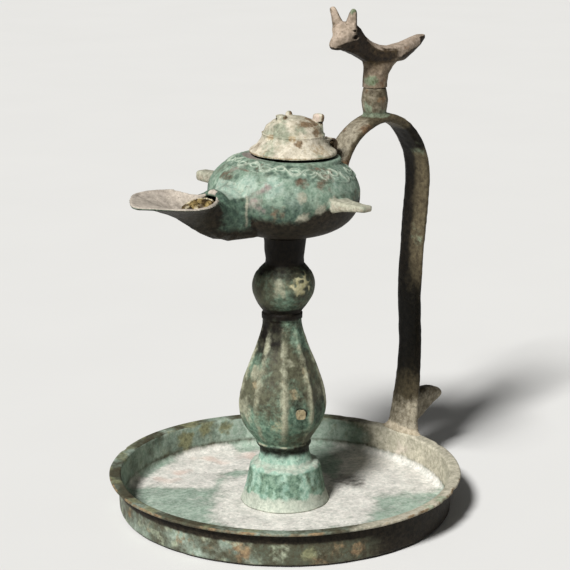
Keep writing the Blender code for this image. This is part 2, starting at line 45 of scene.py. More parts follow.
# ---- Tray ----
# A round dish cast in bronze and trued on a lathe, with a flat flange turned out round its rim.
# Burial has left the outside green and brown, and laid a pale chalky crust over its floor.

TRAY_SEGMENTS = 480
TRAY_UNEVEN = 0.22

# The side of the lamp that the camera looks at, as directions over the table.
TOWARD = np.array([-0.687, -0.727, 0])
RIGHT = np.array([0.727, -0.687, 0])


def linear(code):
    """A colour's sRGB hex code turned to linear light."""
    parts = [int(code[i:i + 2], 16) / 255 for i in (1, 3, 5)]
    light = [c / 12.92 if c <= 0.04045 else ((c + 0.055) / 1.055) ** 2.4 for c in parts]
    return (*light, 1)


def add(tree, kind, settings, links, out=0):
    """Adds one shader node, with its settings, and its inputs set to values or linked. Gives back
    one of its outputs."""
    made = tree.nodes.new("ShaderNode" + kind)
    for name, value in settings.items():
        setattr(made, name, value)
    for name, source in links.items():
        if isinstance(source, bpy.types.NodeSocket):
            tree.links.new(source, made.inputs[name])
        else:
            made.inputs[name].default_value = source
    return made.outputs[out]


def step(values, low, high):
    """0 up to low, 1 from high, and a smooth rise between."""
    t = np.clip((values - low) / (high - low), 0, 1)
    return t * t * (3 - 2 * t)


LATTICE = np.random.default_rng(7).uniform(-1, 1, (32, 32, 32))


def lumps(points, size, kind=0):
    """Smooth random lumps from -1 to 1 that are size apart. Each kind is another set of them."""
    at = points / size + 9.37 * kind + 5
    low = np.floor(at).astype(int)
    t = at - low
    t = t * t * (3 - 2 * t)
    total = np.zeros(len(points))
    for corner in itertools.product((0, 1), repeat=3):
        weight = np.prod(np.where(corner, t, 1 - t), axis=1)
        cell = (low + corner) % len(LATTICE)
        total += weight * LATTICE[cell[:, 0], cell[:, 1], cell[:, 2]]
    return total


def spot(points, centre, reach, kind=0):
    """1 in a ragged spot about a place, and 0 beyond its reach."""
    far = np.linalg.norm(points - np.array(centre), axis=1) / reach
    far += 0.26 * lumps(points, 0.6 * reach, kind) + 0.2 * lumps(points, 0.25 * reach, kind + 1)
    return 1 - step(far, 0.1, 1.1)


def front(right, toward, z):
    """A place given by how far it is to the right of the lamp's axis and in front of it, in mm."""
    return RIGHT * right + TOWARD * toward + np.array([0, 0, z])


def points_of(mesh):
    """A mesh's points, in mm. All the shaping and painting below is in mm."""
    flat = np.empty(len(mesh.vertices) * 3)
    mesh.vertices.foreach_get("co", flat)
    return flat.reshape(-1, 3) / MM


def place(mesh, points):
    mesh.vertices.foreach_set("co", (points * MM).ravel())
    mesh.update()


def normals_of(mesh):
    flat = np.empty(len(mesh.vertices) * 3, np.float32)
    mesh.vertex_normals.foreach_get("vector", flat)
    return flat.reshape(-1, 3).astype(float)


def eased(mesh, values, rounds):
    """Values on the vertices, averaged with their neighbours a number of times."""
    edges = np.empty(len(mesh.edges) * 2, int)
    mesh.edges.foreach_get("vertices", edges)
    a, b = edges.reshape(-1, 2).T
    count = np.bincount(edges, minlength=len(mesh.vertices)).astype(float)
    shape = (-1,) + (1,) * (values.ndim - 1)
    for _ in range(rounds):
        total = np.zeros_like(values)
        np.add.at(total, a, values[b])
        np.add.at(total, b, values[a])
        values = 0.5 * values + 0.5 * total / np.maximum(count, 1).reshape(shape)
    return values


def most(*layers):
    """The thickest of some layers at each vertex."""
    return np.maximum.reduce(layers)


def spots(points, *rows):
    """Ragged spots, each a thickness, a place as for front(), a reach in mm and a kind."""
    return most(*[share * spot(points, front(*at), reach, kind) for share, *at, reach, kind in rows])


def paint(mesh, name, *layers):
    """A coat's thickness over the mesh, 0 to 1, for the material to read."""
    made = mesh.attributes.new(name, "FLOAT", "POINT")
    made.data.foreach_set("value", np.clip(most(*layers), 0, 1).astype(np.float32))


def paint_edges(mesh, rounds, scale, worn=0.7, dirt=0.8):
    """Two coats that follow the shape: worn where it stands proud, and dirt where it is hollow."""
    points = points_of(mesh)
    proud = np.sum((points - eased(mesh, points, rounds)) * normals_of(mesh), axis=1)
    patchy = 0.75 + 0.5 * lumps(points, 5, 90)
    paint(mesh, "worn", worn * patchy * step(proud, 0.15 * scale, 1.3 * scale))
    paint(mesh, "dirt", dirt * patchy * step(-proud, 0.15 * scale, 1.3 * scale))


def between(rings, segments):
    """The faces that join a number of closed rings of points, each ring to the next."""
    faces = []
    for low in range(0, (rings - 1) * segments, segments):
        high = low + segments
        for k in range(segments):
            n = (k + 1) % segments
            faces.append((low + k, low + n, high + n, high + k))
    return faces


def outline_of(corners, rounds):
    """An outline through (radius, z, steps) corners in mm, each reached in its steps, then eased."""
    line = [np.array(corners[0][:2])]
    for start, end in zip(corners[:-1], corners[1:]):
        for i in range(1, end[2] + 1):
            line.append(np.array(start[:2]) + (np.array(end[:2]) - np.array(start[:2])) * i / end[2])
    line = np.array(line)
    for _ in range(rounds):
        line[1:-1] = 0.5 * line[1:-1] + 0.25 * (line[:-2] + line[2:])
    return line


def turned(name, outline, segments):
    """A body turned about Z from an outline that starts and ends on the axis."""
    angles = np.arange(segments) * 2 * math.pi / segments
    rings = outline[1:-1]
    x = np.outer(rings[:, 0], np.cos(angles)).ravel()
    y = np.outer(rings[:, 0], np.sin(angles)).ravel()
    z = np.repeat(rings[:, 1], segments)
    ends = np.array([(0, 0, outline[0][1]), (0, 0, outline[-1][1])])
    points = np.vstack([np.column_stack([x, y, z]), ends])
    faces = between(len(rings), segments)
    first = len(rings) * segments
    for k in range(segments):
        n = (k + 1) % segments
        faces.append((first, n, k))
        faces.append((first + 1, first - segments + k, first - segments + n))
    mesh = bpy.data.meshes.new(name)
    mesh.from_pydata((points * MM).tolist(), [], faces)
    mesh.update()
    return mesh


def buried_bronze(name, ground, coats, pits):
    """Cast bronze that was long buried: brown metal under coats of corrosion. It looks matt and
    grainy, clouds softly from one colour to the next, and is nowhere one even colour.
    A coat is (painted name, two colours, grain in mm, raggedness, thickness in mm, roughness).
    A MapRange's inputs are the value, its low and high, and what those two become."""
    made = bpy.data.materials.new(name)
    made.use_nodes = True
    tree = made.node_tree
    soft = {"interpolation_type": "SMOOTHSTEP"}
    blend = {"data_type": "RGBA"}
    dims = {"data_type": "RGBA", "blend_type": "MULTIPLY"}
    times = {"operation": "MULTIPLY"}
    times_plus = {"operation": "MULTIPLY_ADD"}
    where = add(tree, "TexCoord", {}, {}, 3)
    # The mottle goes from a fingertip's size down to a grain of sand's.
    wide, fine, sand = [add(tree, "TexNoise", {}, {
        "Vector": where, "Scale": 1.0 / (size * MM), "Detail": detail, "Roughness": ragged,
    }) for size, detail, ragged in ((8.0, 4.0, 0.62), (2.3, 5.0, 0.68), (1.1, 3.0, 0.6))]
    wide_share = add(tree, "MapRange", soft, {0: wide, 1: 0.34, 2: 0.66})
    fine_share = add(tree, "MapRange", soft, {0: fine, 1: 0.32, 2: 0.68})
    darker = add(tree, "Mix", blend, {0: fine_share, 6: linear(ground[0]), 7: linear(ground[1])}, 2)
    paler = add(tree, "Mix", blend, {0: fine_share, 6: linear(ground[1]), 7: linear(ground[2])}, 2)
    colour = add(tree, "Mix", blend, {0: wide_share, 6: darker, 7: paler}, 2)
    rough = add(tree, "MapRange", soft, {0: fine, 1: 0.3, 2: 0.7, 3: 0.45, 4: 0.62})
    # Uneven casting skin, in mm.
    height = add(tree, "Math", times, {0: fine, 1: 0.15})
    for i, (painted, low, high, grain, ragged, thick, matt) in enumerate(coats):
        share = add(tree, "Attribute", {"attribute_name": painted}, {}, 2)
        moved = add(tree, "VectorMath", {"operation": "ADD"}, {0: where, 1: (1.0 + i, 2.0 - i, -i)})
        cloud = add(tree, "TexNoise", {}, {
            "Vector": moved, "Scale": 1.0 / (grain * MM), "Detail": 6.0, "Roughness": 0.64})
        broken = add(tree, "Math", times_plus, {0: cloud, 1: ragged, 2: -0.5 * ragged})
        summed = add(tree, "Math", {"operation": "ADD"}, {0: share, 1: broken})
        edge = add(tree, "MapRange", soft, {0: summed, 1: 0.2, 2: 0.8})
        # The cloud alone never makes a coat where none is painted.
        any_coat = add(tree, "MapRange", soft, {0: share, 1: 0.0, 2: 0.15})
        held = add(tree, "Math", times, {0: edge, 1: any_coat})
        tone = add(tree, "Mix", blend, {0: fine_share, 6: linear(low), 7: linear(high)}, 2)
        colour = add(tree, "Mix", blend, {0: held, 6: colour, 7: tone}, 2)
        rough = add(tree, "Mix", {"data_type": "FLOAT"}, {0: held, 2: rough, 3: matt})
        height = add(tree, "Math", times_plus, {0: held, 1: thick, 2: height})
    # Tone drifts along the piece, and grains and pits about 1 mm across are the finest that show.
    drift = add(tree, "MapRange", soft, {0: wide, 1: 0.3, 2: 0.7, 3: 1.14, 4: 0.84})
    colour = add(tree, "Mix", dims, {0: 1.0, 6: colour, 7: drift}, 2)
    grains = add(tree, "MapRange", soft, {0: sand, 1: 0.3, 2: 0.7, 3: 1.08, 4: 0.92})
    colour = add(tree, "Mix", dims, {0: 1.0, 6: colour, 7: grains}, 2)
    speck_at = add(tree, "VectorMath", {"operation": "ADD"}, {0: where, 1: (0.7, 0.9, -0.7)})
    speck = add(tree, "TexNoise", {}, {
        "Vector": speck_at, "Scale": 1.0 / (1.8 * MM), "Detail": 3.0, "Roughness": 0.6})
    pitted = add(tree, "MapRange", soft, {0: speck, 1: 0.6, 2: 0.74, 4: pits})
    colour = add(tree, "Mix", blend, {0: pitted, 6: colour, 7: linear("#1a1610")}, 2)
    flecked = add(tree, "MapRange", soft, {0: speck, 1: 0.4, 2: 0.25, 4: 0.6 * pits})
    colour = add(tree, "Mix", dims, {0: flecked, 6: colour, 7: (1.8, 1.78, 1.7, 1.0)}, 2)
    height = add(tree, "Math", times_plus, {0: sand, 1: -0.05, 2: height})
    height = add(tree, "Math", times_plus, {0: pitted, 1: -0.25, 2: height})
    bumped = add(tree, "Bump", {}, {"Height": height, "Distance": MM, "Strength": 1.0})
    shader = tree.nodes["Principled BSDF"]
    tree.links.new(colour, shader.inputs["Base Color"])
    tree.links.new(rough, shader.inputs["Roughness"])
    tree.links.new(bumped, shader.inputs["Normal"])
    shader.inputs["Metallic"].default_value = 0.0
    shader.inputs["Specular IOR Level"].default_value = 0.14
    return made


def linked(name, data):
    """A new object in the scene."""
    made = bpy.data.objects.new(name, data)
    bpy.context.scene.collection.objects.link(made)
    return made


def finish(name, mesh, metal, body, nodes):
    """Shows a mesh as a piece that rides on a body and stands for the CAD nodes."""
    mesh.materials.clear()
    mesh.materials.append(metal)
    mesh.polygons.foreach_set("use_smooth", [True] * len(mesh.polygons))
    made = linked(name, mesh)
    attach(made, body)
    if nodes:
        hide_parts(*nodes)


# The underside, the round foot edge, the wall, the flange's edge and top, the inside and the floor.
outline = outline_of([
    (0, 0, 0), (86.6, 0, 14), (88.1, 1.4, 3), (88.7, 18.2, 22), (93.2, 18.3, 8), (93.9, 19.2, 3),
    (93.3, 20.1, 3), (87.6, 19.8, 9), (86, 4.3, 20), (83.8, 2.8, 5), (0, 2.8, 66),
], rounds=2)
mesh = turned("dish", outline, TRAY_SEGMENTS)

at = points_of(mesh)
x, y, z = at.T
r = np.hypot(x, y)
angle = np.degrees(np.arctan2(y, x))
on_rim = step(z, 15, 19.5)
on_floor = step(r, 86, 83) * (z > 2)
facing = normals_of(mesh)
looks_out = np.sum(facing[:, :2] * at[:, :2], axis=1) / np.maximum(r, 1)
inside = (r < 87.8) & (z > 2) & (looks_out < 0.4)
outside = (r > 86) & (looks_out > 0.3) & (z < 18.3)

# The flange is a little out of round and its edge has small bites in it, each an angle and a depth.
pull = TRAY_UNEVEN * (1 + lumps(at, 26, 1)) + 0.5 * TRAY_UNEVEN * (1 + lumps(at, 7, 2))
for bite, depth in ((-20, 0.9), (-63, 0.7), (-72, 0.5), (14, 0.8), (24, 0.6), (36, 0.9), (118, 0.7),
        (-168, 0.5)):
    turn = abs((angle - bite + 180) % 360 - 180)
    pull += depth * step(turn, 2.6, 0.6) * step(r, 91, 93.5)
at[:, :2] *= (1 - on_rim * pull / np.maximum(r, 1))[:, None]
at[:, 2] -= on_rim * 0.3 * (0.5 + 0.5 * lumps(at, 18, 3))
# The floor has low swells, and worn turning marks that show beside the foot.
floor_lift = 0.25 * lumps(at, 14, 4) + 0.12 * lumps(at, 4, 5)
across = at @ RIGHT
ahead = at @ TOWARD
marks = np.sin(r * 2 * math.pi / 2.7 + 0.8 * lumps(at, 20, 6))
beside_foot = step(r, 41, 33) * step(across, -6, 12)
floor_lift += 0.1 * marks * beside_foot
at[:, 2] += on_floor * floor_lift
skin = 0.1 * lumps(at, 3.5, 7) + 0.14 * lumps(at, 9, 16)
at += normals_of(mesh) * (skin * (outside | (inside & (on_floor < 0.5))))[:, None]
at[:, 2] = np.maximum(z, 0)
place(mesh, at)

stir = 8 * lumps(at, 22, 8) + 5 * lumps(at, 8, 9)
# Chalk lies round the stem, in a band at the left and back, and over the right of the floor.
base = inside * step(z, 9, 4)
ring = step(np.hypot(across, ahead - 6) + stir, 66, 32) * step(across + 0.5 * stir, -58, -24)
band = step(abs(r - 66) + stir, 28, 10) * step(ahead + 0.5 * stir, -6, -26) * step(across, 14, -6)
right_side = step(across + stir, 14, 44) * step(ahead + 0.2 * across + 0.6 * stir, 28, -6)
chalk = base * most(ring, 0.95 * band, 0.9 * right_side, np.full(len(at), 0.25))
chalk *= 0.95 + 0.2 * lumps(at, 4, 51)
on_wall = inside * (1 - base)
wall_right = on_wall * step(across + stir, 30, 58)
# The inner wall is olive green with teal in it at the left, and buff at the right.
wall_left = on_wall * step(across + stir, 58, 30)
soft = 0.5 + 0.5 * lumps(at, 9, 13)
paint(mesh, "teal", base * (0.95 - 0.7 * chalk), wall_left * (0.35 + 0.75 * soft),
    outside * (0.1 + 0.6 * soft) * step(across, 30, -40), on_rim * (0.25 + 0.45 * lumps(at, 12, 15)))
paint(mesh, "deep", base * step(np.hypot(across + 40, ahead - 10) + stir, 34, 14) * 0.3,
    outside * (0.3 - 0.2 * soft) + wall_left * (0.5 - 0.4 * soft))
paint(mesh, "olive", spots(at, (0.85, -57, -66, 13, 9, 41), (0.8, -45, -75, 16, 8, 42),
    (0.7, -34, -80, 15, 7, 45), (0.8, 12, 88, 6, 6, 43)),
    0.35 * wall_left * step(lumps(at, 5, 46), 0.2, 0.6), 0.6 * on_rim * step(soft, 0.4, 0.8))
rim_right = on_rim * step(across, 10, 60)
paint(mesh, "buff", 0.95 * wall_right, rim_right * (0.85 + 0.3 * lumps(at, 15, 11)))
paint(mesh, "chalk", chalk)
pink_left = step(abs(r - 70) + 0.5 * stir, 14, 6) * step(ahead, -10, -30) * step(across, 0, -20)
paint(mesh, "pink", base * pink_left * (0.35 + 0.6 * lumps(at, 7, 47)),
    0.5 * spot(at, front(66, -57, 11), 7, 44) * inside)
patchy = 0.75 + 0.6 * lumps(at, 2.6, 17)
paint(mesh, "rust", patchy * most(spots(at, (0.9, -22, 85, 7, 10, 3), (0.55, 27, 84, 8, 10, 4),
    (0.7, 36, 80, 7, 7, 6), (0.4, -45, 76, 8, 9, 5)), 0.45 * outside * step(lumps(at, 6, 48), 0.15, 0.6),
    0.8 * step(r, 92.6, 93.3) * on_rim * step(soft, 0.1, 0.5) * step(ahead, 0, 30)))
paint(mesh, "pale", patchy * most(spots(at, (0.75, -3, 88, 9, 9, 7), (0.6, -56, 69, 5, 5, 8),
    (1, 80, 46, 20, 6, 9), (1, 72, 56, 20, 5, 10)),
    0.5 * outside * step(across, 30, 5) * step(lumps(at, 5, 18), 0, 0.5)))
# Soot and painted shade: the painted shade is the flange's shadow on the outer wall and the stem's shadow
# on the floor at its right. The outer wall at the right, the underside, the flange's edge and the rim at
# the left are dark.
paint(mesh, "soot_and_shade", 1.1 * outside * step(z, 10.5, 14.5),
    0.9 * outside * step(across + 0.6 * stir, 22, 56), 0.9 * (z < 1),
    0.55 * base * spot(at, front(36, -26, 3), 17, 19), 0.35 * step(r, 93, 93.7) * on_rim,
    0.3 * on_rim * step(across + stir, -45, -75))
paint_edges(mesh, 8, 0.3, 0.35, 0.8 * (1 - 0.75 * inside) * (1 - 0.9 * on_rim))

metal = buried_bronze("buried_bronze_of_the_tray", ("#332d21", "#4d4939", "#565c4c"), (
    ("teal", "#829484", "#a3b0a2", 5, 0.8, 0.05, 0.72),
    ("deep", "#5c6f62", "#829486", 5, 1, 0.03, 0.72),
    ("olive", "#68694f", "#8a8a69", 3, 0.9, 0.04, 0.75),
    ("buff", "#979381", "#bcb5a2", 4, 0.8, 0.06, 0.8),
    ("chalk", "#bcbcb3", "#d9d4cb", 5, 1, 0.08, 0.92),
    ("pink", "#c6b5a9", "#cfc1b6", 5, 0.7, 0.03, 0.92),
    ("rust", "#6c5944", "#927e60", 2.6, 1.3, 0.06, 0.85),
    ("pale", "#7f8871", "#a9ae98", 2.4, 1.3, 0.06, 0.85),
    ("soot_and_shade", "#17130d", "#2f291f", 3.4, 0.7, 0, 0.6),
    ("dirt", "#29231a", "#433c2e", 2, 0.7, 0, 0.75),
    ("worn", "#6f6753", "#918d78", 2, 1.1, 0, 0.6),
), pits=0.35)
finish("tray_dish", mesh, metal, "stand", ["tray"])


# ---- Stem ----
# A bronze casting, most likely hollow, that stands on the tray: a stepped foot, a baluster with
# nine raised ribs, a ball and a plain neck. It bows a little, and a square plug closes a hole.

STEM_SEGMENTS = 288
RIBS = 9
FIRST_RIB = math.radians(30.1)
RIB_HEIGHT = 0.75
RIB_HALF = 2.2
PANEL_HOLLOW = 0.9
FLUTES = (36.4, 101.5)
STEM_SWAY = 1.5


def near(off, width):
    """1 where off is 0, falling away to both sides like a bell."""
    return np.exp(-(off / width) ** 2)


def run(corners, spacing, straight=False):
    """A smooth or straight line through the corners, in steps of about the spacing."""
    pts = np.array(corners, dtype=float)
    pts = np.vstack([2 * pts[0] - pts[1], pts, 2 * pts[-1] - pts[-2]])
    line = []
    for p0, p1, p2, p3 in zip(pts, pts[1:], pts[2:], pts[3:]):
        for t in np.linspace(0, 1, max(2, round(np.linalg.norm(p2 - p1) / spacing)), endpoint=False):
            curve = 0.5 * (2 * p1 + (p2 - p0) * t + (2 * p0 - 5 * p1 + 4 * p2 - p3) * t ** 2
                           + (3 * p1 - p0 - 3 * p2 + p3) * t ** 3)
            line.append(p1 + (p2 - p1) * t if straight else curve)
    return np.vstack([line, pts[-2]])


runs = [
    run([(0, 3.1), (23.6, 3.1)], 2, straight=True),
    run([(23.6, 3.1), (22.3, 6.5), (20.6, 12.5), (18.7, 22.4), (17.6, 24), (14.9, 24.6)], 0.55,
        straight=True),
    run([(14.9, 24.6), (13.4, 28), (13, 32.2), (14.3, 34.4), (14.5, 35.6), (14, 36.4)], 0.5),
    run([(14, 36.4), (17.2, 40.6), (21, 46.6), (23.1, 53), (23.3, 60), (21.4, 69.4), (17.6, 80.2),
         (13.8, 89), (11.2, 97), (10, 102.6)], 0.55),
    run([(10, 102.6), (10.6, 103.4), (10.6, 106), (9.9, 107)], 0.5, straight=True),
    run([(9.9, 107), (13.3, 111.8), (15.7, 116.4), (16.3, 121.4), (14.9, 127), (10.2, 132.6)], 0.5),
    run([(10.2, 132.6), (10, 135.2), (10.8, 143.5), (11.3, 147.3)], 0.7, straight=True),
    run([(11.3, 147.3), (0, 147)], 2.5, straight=True),
]
outline = np.vstack([part[:-1] for part in runs] + [runs[-1][-1:]])
mesh = turned("baluster", outline, STEM_SEGMENTS)
at = points_of(mesh)
x, y, z = at.T
r = np.hypot(x, y)
angle = np.arctan2(y, x)

# Between the ribs each panel is a little hollow, and the ribs run out round at both ends.
pitch = 2 * math.pi / RIBS
off_rib = abs((angle - FIRST_RIB + pitch / 2) % pitch - pitch / 2)
on_flutes = np.clip((z - FLUTES[0]) / (FLUTES[1] - FLUTES[0]), 0, 1)
fade = np.sin(math.pi * on_flutes) ** 0.4
rib = near(off_rib * r, RIB_HALF)
sunk = RIB_HEIGHT * (1 - rib) + PANEL_HOLLOW * np.sin(math.pi * off_rib / pitch) * r / 23
sunk *= fade
# A ring is cut near the top of the ball, and the foot shows upright file marks.
sunk += 0.35 * near(z - 128.6, 0.5)
foot = step(z, 25, 23) * step(z, 3.2, 7)
streaks = lumps(np.column_stack([np.cos(angle), np.sin(angle), 0.004 * z]) * 20, 2.6, 20)
sunk += 0.1 * foot * streaks
# The casting skin is uneven all over.
sunk += 0.2 * lumps(at, 6, 21) + 0.09 * lumps(at, 2.4, 22)
# The plug sits in a square hole with a dark gap round it.
plug_at = front(10, 20, 56)
plug_turn = math.atan2(plug_at[1], plug_at[0])
plug_u = (angle - plug_turn) * r
plug_v = z - 56
plug_out = (abs(plug_u + 0.15 * plug_v) ** 3 + abs(plug_v - 0.1 * plug_u) ** 3) ** (1 / 3)
plug_out += 0.9 * lumps(at, 2.6, 33) - 0.2
plug_face = step(plug_out, 2.9, 2.3)
plug_gap = step(plug_out, 4.2, 3) * (1 - plug_face) * step(plug_v + 0.6 * plug_u, -1.5, 1.5)
sunk += 0.5 * plug_gap + 0.25 * plug_face * (1 + lumps(at, 1.5, 23))
at[:, :2] *= (1 - sunk / np.maximum(r, 1))[:, None] * (r > 2)[:, None]
lean = STEM_SWAY * (step(z, 26, 44) - step(z, 100, 146))
at[:, 0] -= 0.7 * lean
at[:, 1] += 0.7 * lean
place(mesh, at)

across = at @ RIGHT
stir = lumps(at, 13, 24)
grit = lumps(at, 4, 25)
on_foot = step(z, 34, 30)
paint(mesh, "teal", on_foot * (0.7 + 0.35 * lumps(at, 5, 26)), step(z, 66, 46) * (0.62 + 0.5 * stir),
    0.35 + 0.45 * stir * step(z, 128, 110))
paint(mesh, "mint", on_foot * np.maximum(0.85 * step(z, 21, 23.5),
    0.4 + 0.3 * streaks + 0.4 * lumps(at, 2.4, 34)))
paint(mesh, "chalk", step(z + 2.2 * grit, 11.5, 7), 0.6 * step(z + 2 * grit, 22, 24) * step(z, 28, 25.5))
broad_rib = near(off_rib * r, 2.6) * fade * (on_flutes > 0) * (on_flutes < 1)
patches = step(lumps(at, 6, 35) + 0.5 * grit, -0.4, 0.5)
# The ribs and the ledge are rubbed pale, and the spot on the front of the ball is a painted highlight.
paint(mesh, "rubbed", spots(at, (0.9, 3, 17, 83, 5.5, 53), (0.9, -15, 10, 75, 6, 54),
    (0.7, 12, 14, 76, 5, 55), (0.65, -20, 9, 57, 12, 37), (0.5, -16, 14, 76, 9, 38),
    (0.45, 20, 9, 66, 9, 39), (0.6, -2, 15, 121.5, 8, 40)), broad_rib * (0.5 + 0.5 * patches),
    broad_rib * spot(at, front(3, 22, 62), 22, 36), 0.7 * near(z - 36, 0.6) * patches)
paint(mesh, "tan", spots(at, (0.6, -15, 15, 70, 5, 27), (0.5, 4, 21, 68, 7, 28), (0.5, 12, 14, 76, 6, 29),
    (0.45, -2, 21, 50, 9, 30)), plug_face, 0.35 * broad_rib * step(lumps(at, 4, 49), 0, 0.5))
paint(mesh, "yellow", 1.6 * spot(at, front(7.5, 14, 124), 8.5, 31)
    * (0.95 - 1.6 * abs(lumps(at, 2.2, 32))))
# Soot and painted shade: painted shade darkens the neck and the top of the ball under the bowl, the bands
# under the ball and the top of the waist under the baluster. The gap round the plug, the panels at the
# right and a patch high on the baluster's left are dark.
paint(mesh, "soot_and_shade", 0.9 * plug_gap, step(z, 130, 134), 0.8 * step(z, 112, 108.5) * step(z, 101, 105),
    0.7 * step(z, 37.5, 35) * step(z, 27, 32), 0.5 * step(z, 116, 111) * step(z, 107, 108),
    0.5 * (1 - broad_rib) * step(across + 4 * grit, -3, 7) * (z > 37) * step(stir, -0.5, 0.3),
    step(z + 6 * stir, 76, 94) * (0.75 + 0.3 * grit) * step(z, 107, 103) * step(across, 3, -4),
    0.65 * step(z + 1.5 * grit, 124, 130))
paint_edges(mesh, 8, 0.22, 0.3, 0.6)

metal = buried_bronze("buried_bronze_of_the_stem", ("#343127", "#504f3f", "#666752"), (
    ("teal", "#4f6a59", "#829b86", 3, 1, 0.05, 0.7),
    ("mint", "#7c9c8b", "#a5bcaa", 2.4, 1, 0.05, 0.8),
    ("soot_and_shade", "#0c0906", "#1b160f", 3, 0.7, 0, 0.6),
    ("tan", "#8e8062", "#b0a181", 2.4, 1.1, 0.04, 0.85),
    ("dirt", "#211c14", "#3a3426", 1.6, 0.7, 0, 0.75),
    ("worn", "#67624d", "#86836c", 1.4, 1.1, 0, 0.5),
    # Rubbed metal, which also gives the ball its painted highlight.
    ("rubbed", "#7f7e69", "#a6a68f", 3, 1, 0, 0.45),
    ("chalk", "#9da496", "#b9bdae", 2.6, 1, 0.08, 0.92),
    ("yellow", "#8f8a66", "#b7b190", 1.3, 0.9, 0.1, 0.9),
), pits=0.4)
finish("stem_baluster", mesh, metal, "stand", ["stem"])


# ---- Lamp body ----
# The oil bowl, cast in one with its nozzle and two side lugs. It sits a little crooked on the
# neck, and a frieze of raised strapwork, half worn away, runs round its shoulder.

LAMP_SEAT = (Matrix.Translation((0, 0, 148 * MM))
             @ Euler((math.radians(1.1), math.radians(1.1), 0)).to_matrix().to_4x4())
LAMP_Y, LAMP_UP = np.array(LAMP_SEAT)[:3, 1:3].T
BOWL_AXIS = np.array([-0.9, 0.9])
BOWL_RADIUS = 39.4
BOWL_WAIST = 22
# Below and above the waist: the height, and how square the curve is.
BOWL_LOWER = (22.5, 2.4)
BOWL_UPPER = (22.2, 2.1)
LID_AXIS = 4
BODY_GRAIN = 0.81
TIP_RAISED = 0.95
FRIEZE = (26.4, 34.6)
FRIEZE_WAVES = 13


def closed_loft(rings):
    """A closed skin over rings of points, with flat ends, as (points, faces)."""
    count = len(rings[0])
    faces = between(len(rings), count)
    faces.append(tuple(range(count))[::-1])
    faces.append(tuple(range((len(rings) - 1) * count, len(rings) * count)))
    return [tuple(point) for ring in rings for point in ring], faces


def oval(count, x, y, z, half_x, half_y):
    """A level ring of points about a place, in mm."""
    turns = np.arange(count) * 2 * math.pi / count
    return np.column_stack([x + half_x * np.cos(turns), y + half_y * np.sin(turns), np.full(count, z)])


def recast(node, grain, rounds, name, lumps_added=(), reshaped=None):
    """A fine skin over a copy of a CAD casting, and over closed lumps that are added to it. The
    rounds wear its facets and edges away. Reshaped gives new points to the copy first."""
    shape = bmesh.new()
    if node:
        shape.from_mesh(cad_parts[node].data)
    for points, faces in lumps_added:
        made = [shape.verts.new(point) for point in (np.array(points) * MM).tolist()]
        skin = [shape.faces.new([made[i] for i in face]) for face in faces]
        bmesh.ops.recalc_face_normals(shape, faces=skin)
    rough_mesh = bpy.data.meshes.new(name)
    shape.to_mesh(rough_mesh)
    shape.free()
    if reshaped:
        place(rough_mesh, reshaped(rough_mesh))
    copy = linked(name, rough_mesh)
    remesh = copy.modifiers.new("skin", "REMESH")
    remesh.mode = "VOXEL"
    remesh.voxel_size = grain * MM
    graph = bpy.context.evaluated_depsgraph_get()
    mesh = bpy.data.meshes.new_from_object(copy.evaluated_get(graph))
    bpy.data.objects.remove(copy)
    bpy.data.meshes.remove(rough_mesh)
    mesh.name = name
    wear_down(mesh, rounds)
    return mesh


def wear_down(mesh, rounds, share=1):
    """Smooths a mesh without shrinking it. The share is how much each vertex takes part."""
    points = points_of(mesh)
    take = np.ones((len(points), 1)) * np.reshape(share, (-1, 1))
    for _ in range(rounds):
        points = points + take * 0.9 * (eased(mesh, points, 1) - points)
        points = points - take * 0.92 * (eased(mesh, points, 1) - points)
    place(mesh, points)


def finer(mesh, chosen):
    """Splits in four each face whose middle is chosen."""
    shape = bmesh.new()
    shape.from_mesh(mesh)
    middles = np.array([face.calc_center_median() for face in shape.faces]) / MM
    edges = {edge for face, pick in zip(shape.faces, chosen(middles)) if pick for edge in face.edges}
    bmesh.ops.subdivide_edges(shape, edges=list(edges), cuts=1, use_grid_fill=True)
    shape.to_mesh(mesh)
    shape.free()


def in_seat(points):
    """Points in the lamp's own leaning frame, in mm."""
    upright = np.array(LAMP_SEAT.inverted())
    return (points * MM @ upright[:3, :3].T + upright[:3, 3]) / MM


def seated(points):
    """Points of the lamp's own leaning frame, in mm, put where they stand."""
    seat = np.array(LAMP_SEAT)
    return (np.array(points) * MM @ seat[:3, :3].T + seat[:3, 3]) / MM


def round_the_bowl(points):
    """How far each point stands from the bowl's true curve, as a share of its size: 1 is on it."""
    at = in_seat(points)
    out = np.hypot(at[:, 0] - BOWL_AXIS[0], at[:, 1] - BOWL_AXIS[1]) / BOWL_RADIUS
    up = at[:, 2] - BOWL_WAIST
    height = np.where(up < 0, BOWL_LOWER[0], BOWL_UPPER[0])
    power = np.where(up < 0, BOWL_LOWER[1], BOWL_UPPER[1])
    return (out ** power + (abs(up) / height) ** power) ** (1 / power)


def thicker_tip(mesh):
    """Points of a copy in which the floor of the spoon's tip, which is thin, is raised below its rim."""
    points = points_of(mesh)
    at = in_seat(points)
    rim = 27.2 + 0.028 * (at[:, 0] + 100.4)
    floor = (normals_of(mesh) @ LAMP_UP > 0.3) & (at[:, 2] < rim - 0.9)
    raised = TIP_RAISED * step(at[:, 0], -80, -88) * floor
    return points + raised[:, None] * LAMP_UP


mesh = recast("lamp_body", BODY_GRAIN, 2, "lamp_bowl", reshaped=thicker_tip)
# The bowl's facets go: what is nearly on its true curve is put on it.
at = points_of(mesh)
share = round_the_bowl(at)
nearly = step(abs(share - 1) * BOWL_RADIUS, 0.8, 0.4)[:, None]
middle = seated([(*BOWL_AXIS, BOWL_WAIST)])[0]
at += nearly * (middle + (at - middle) / share[:, None] - at)
place(mesh, at)
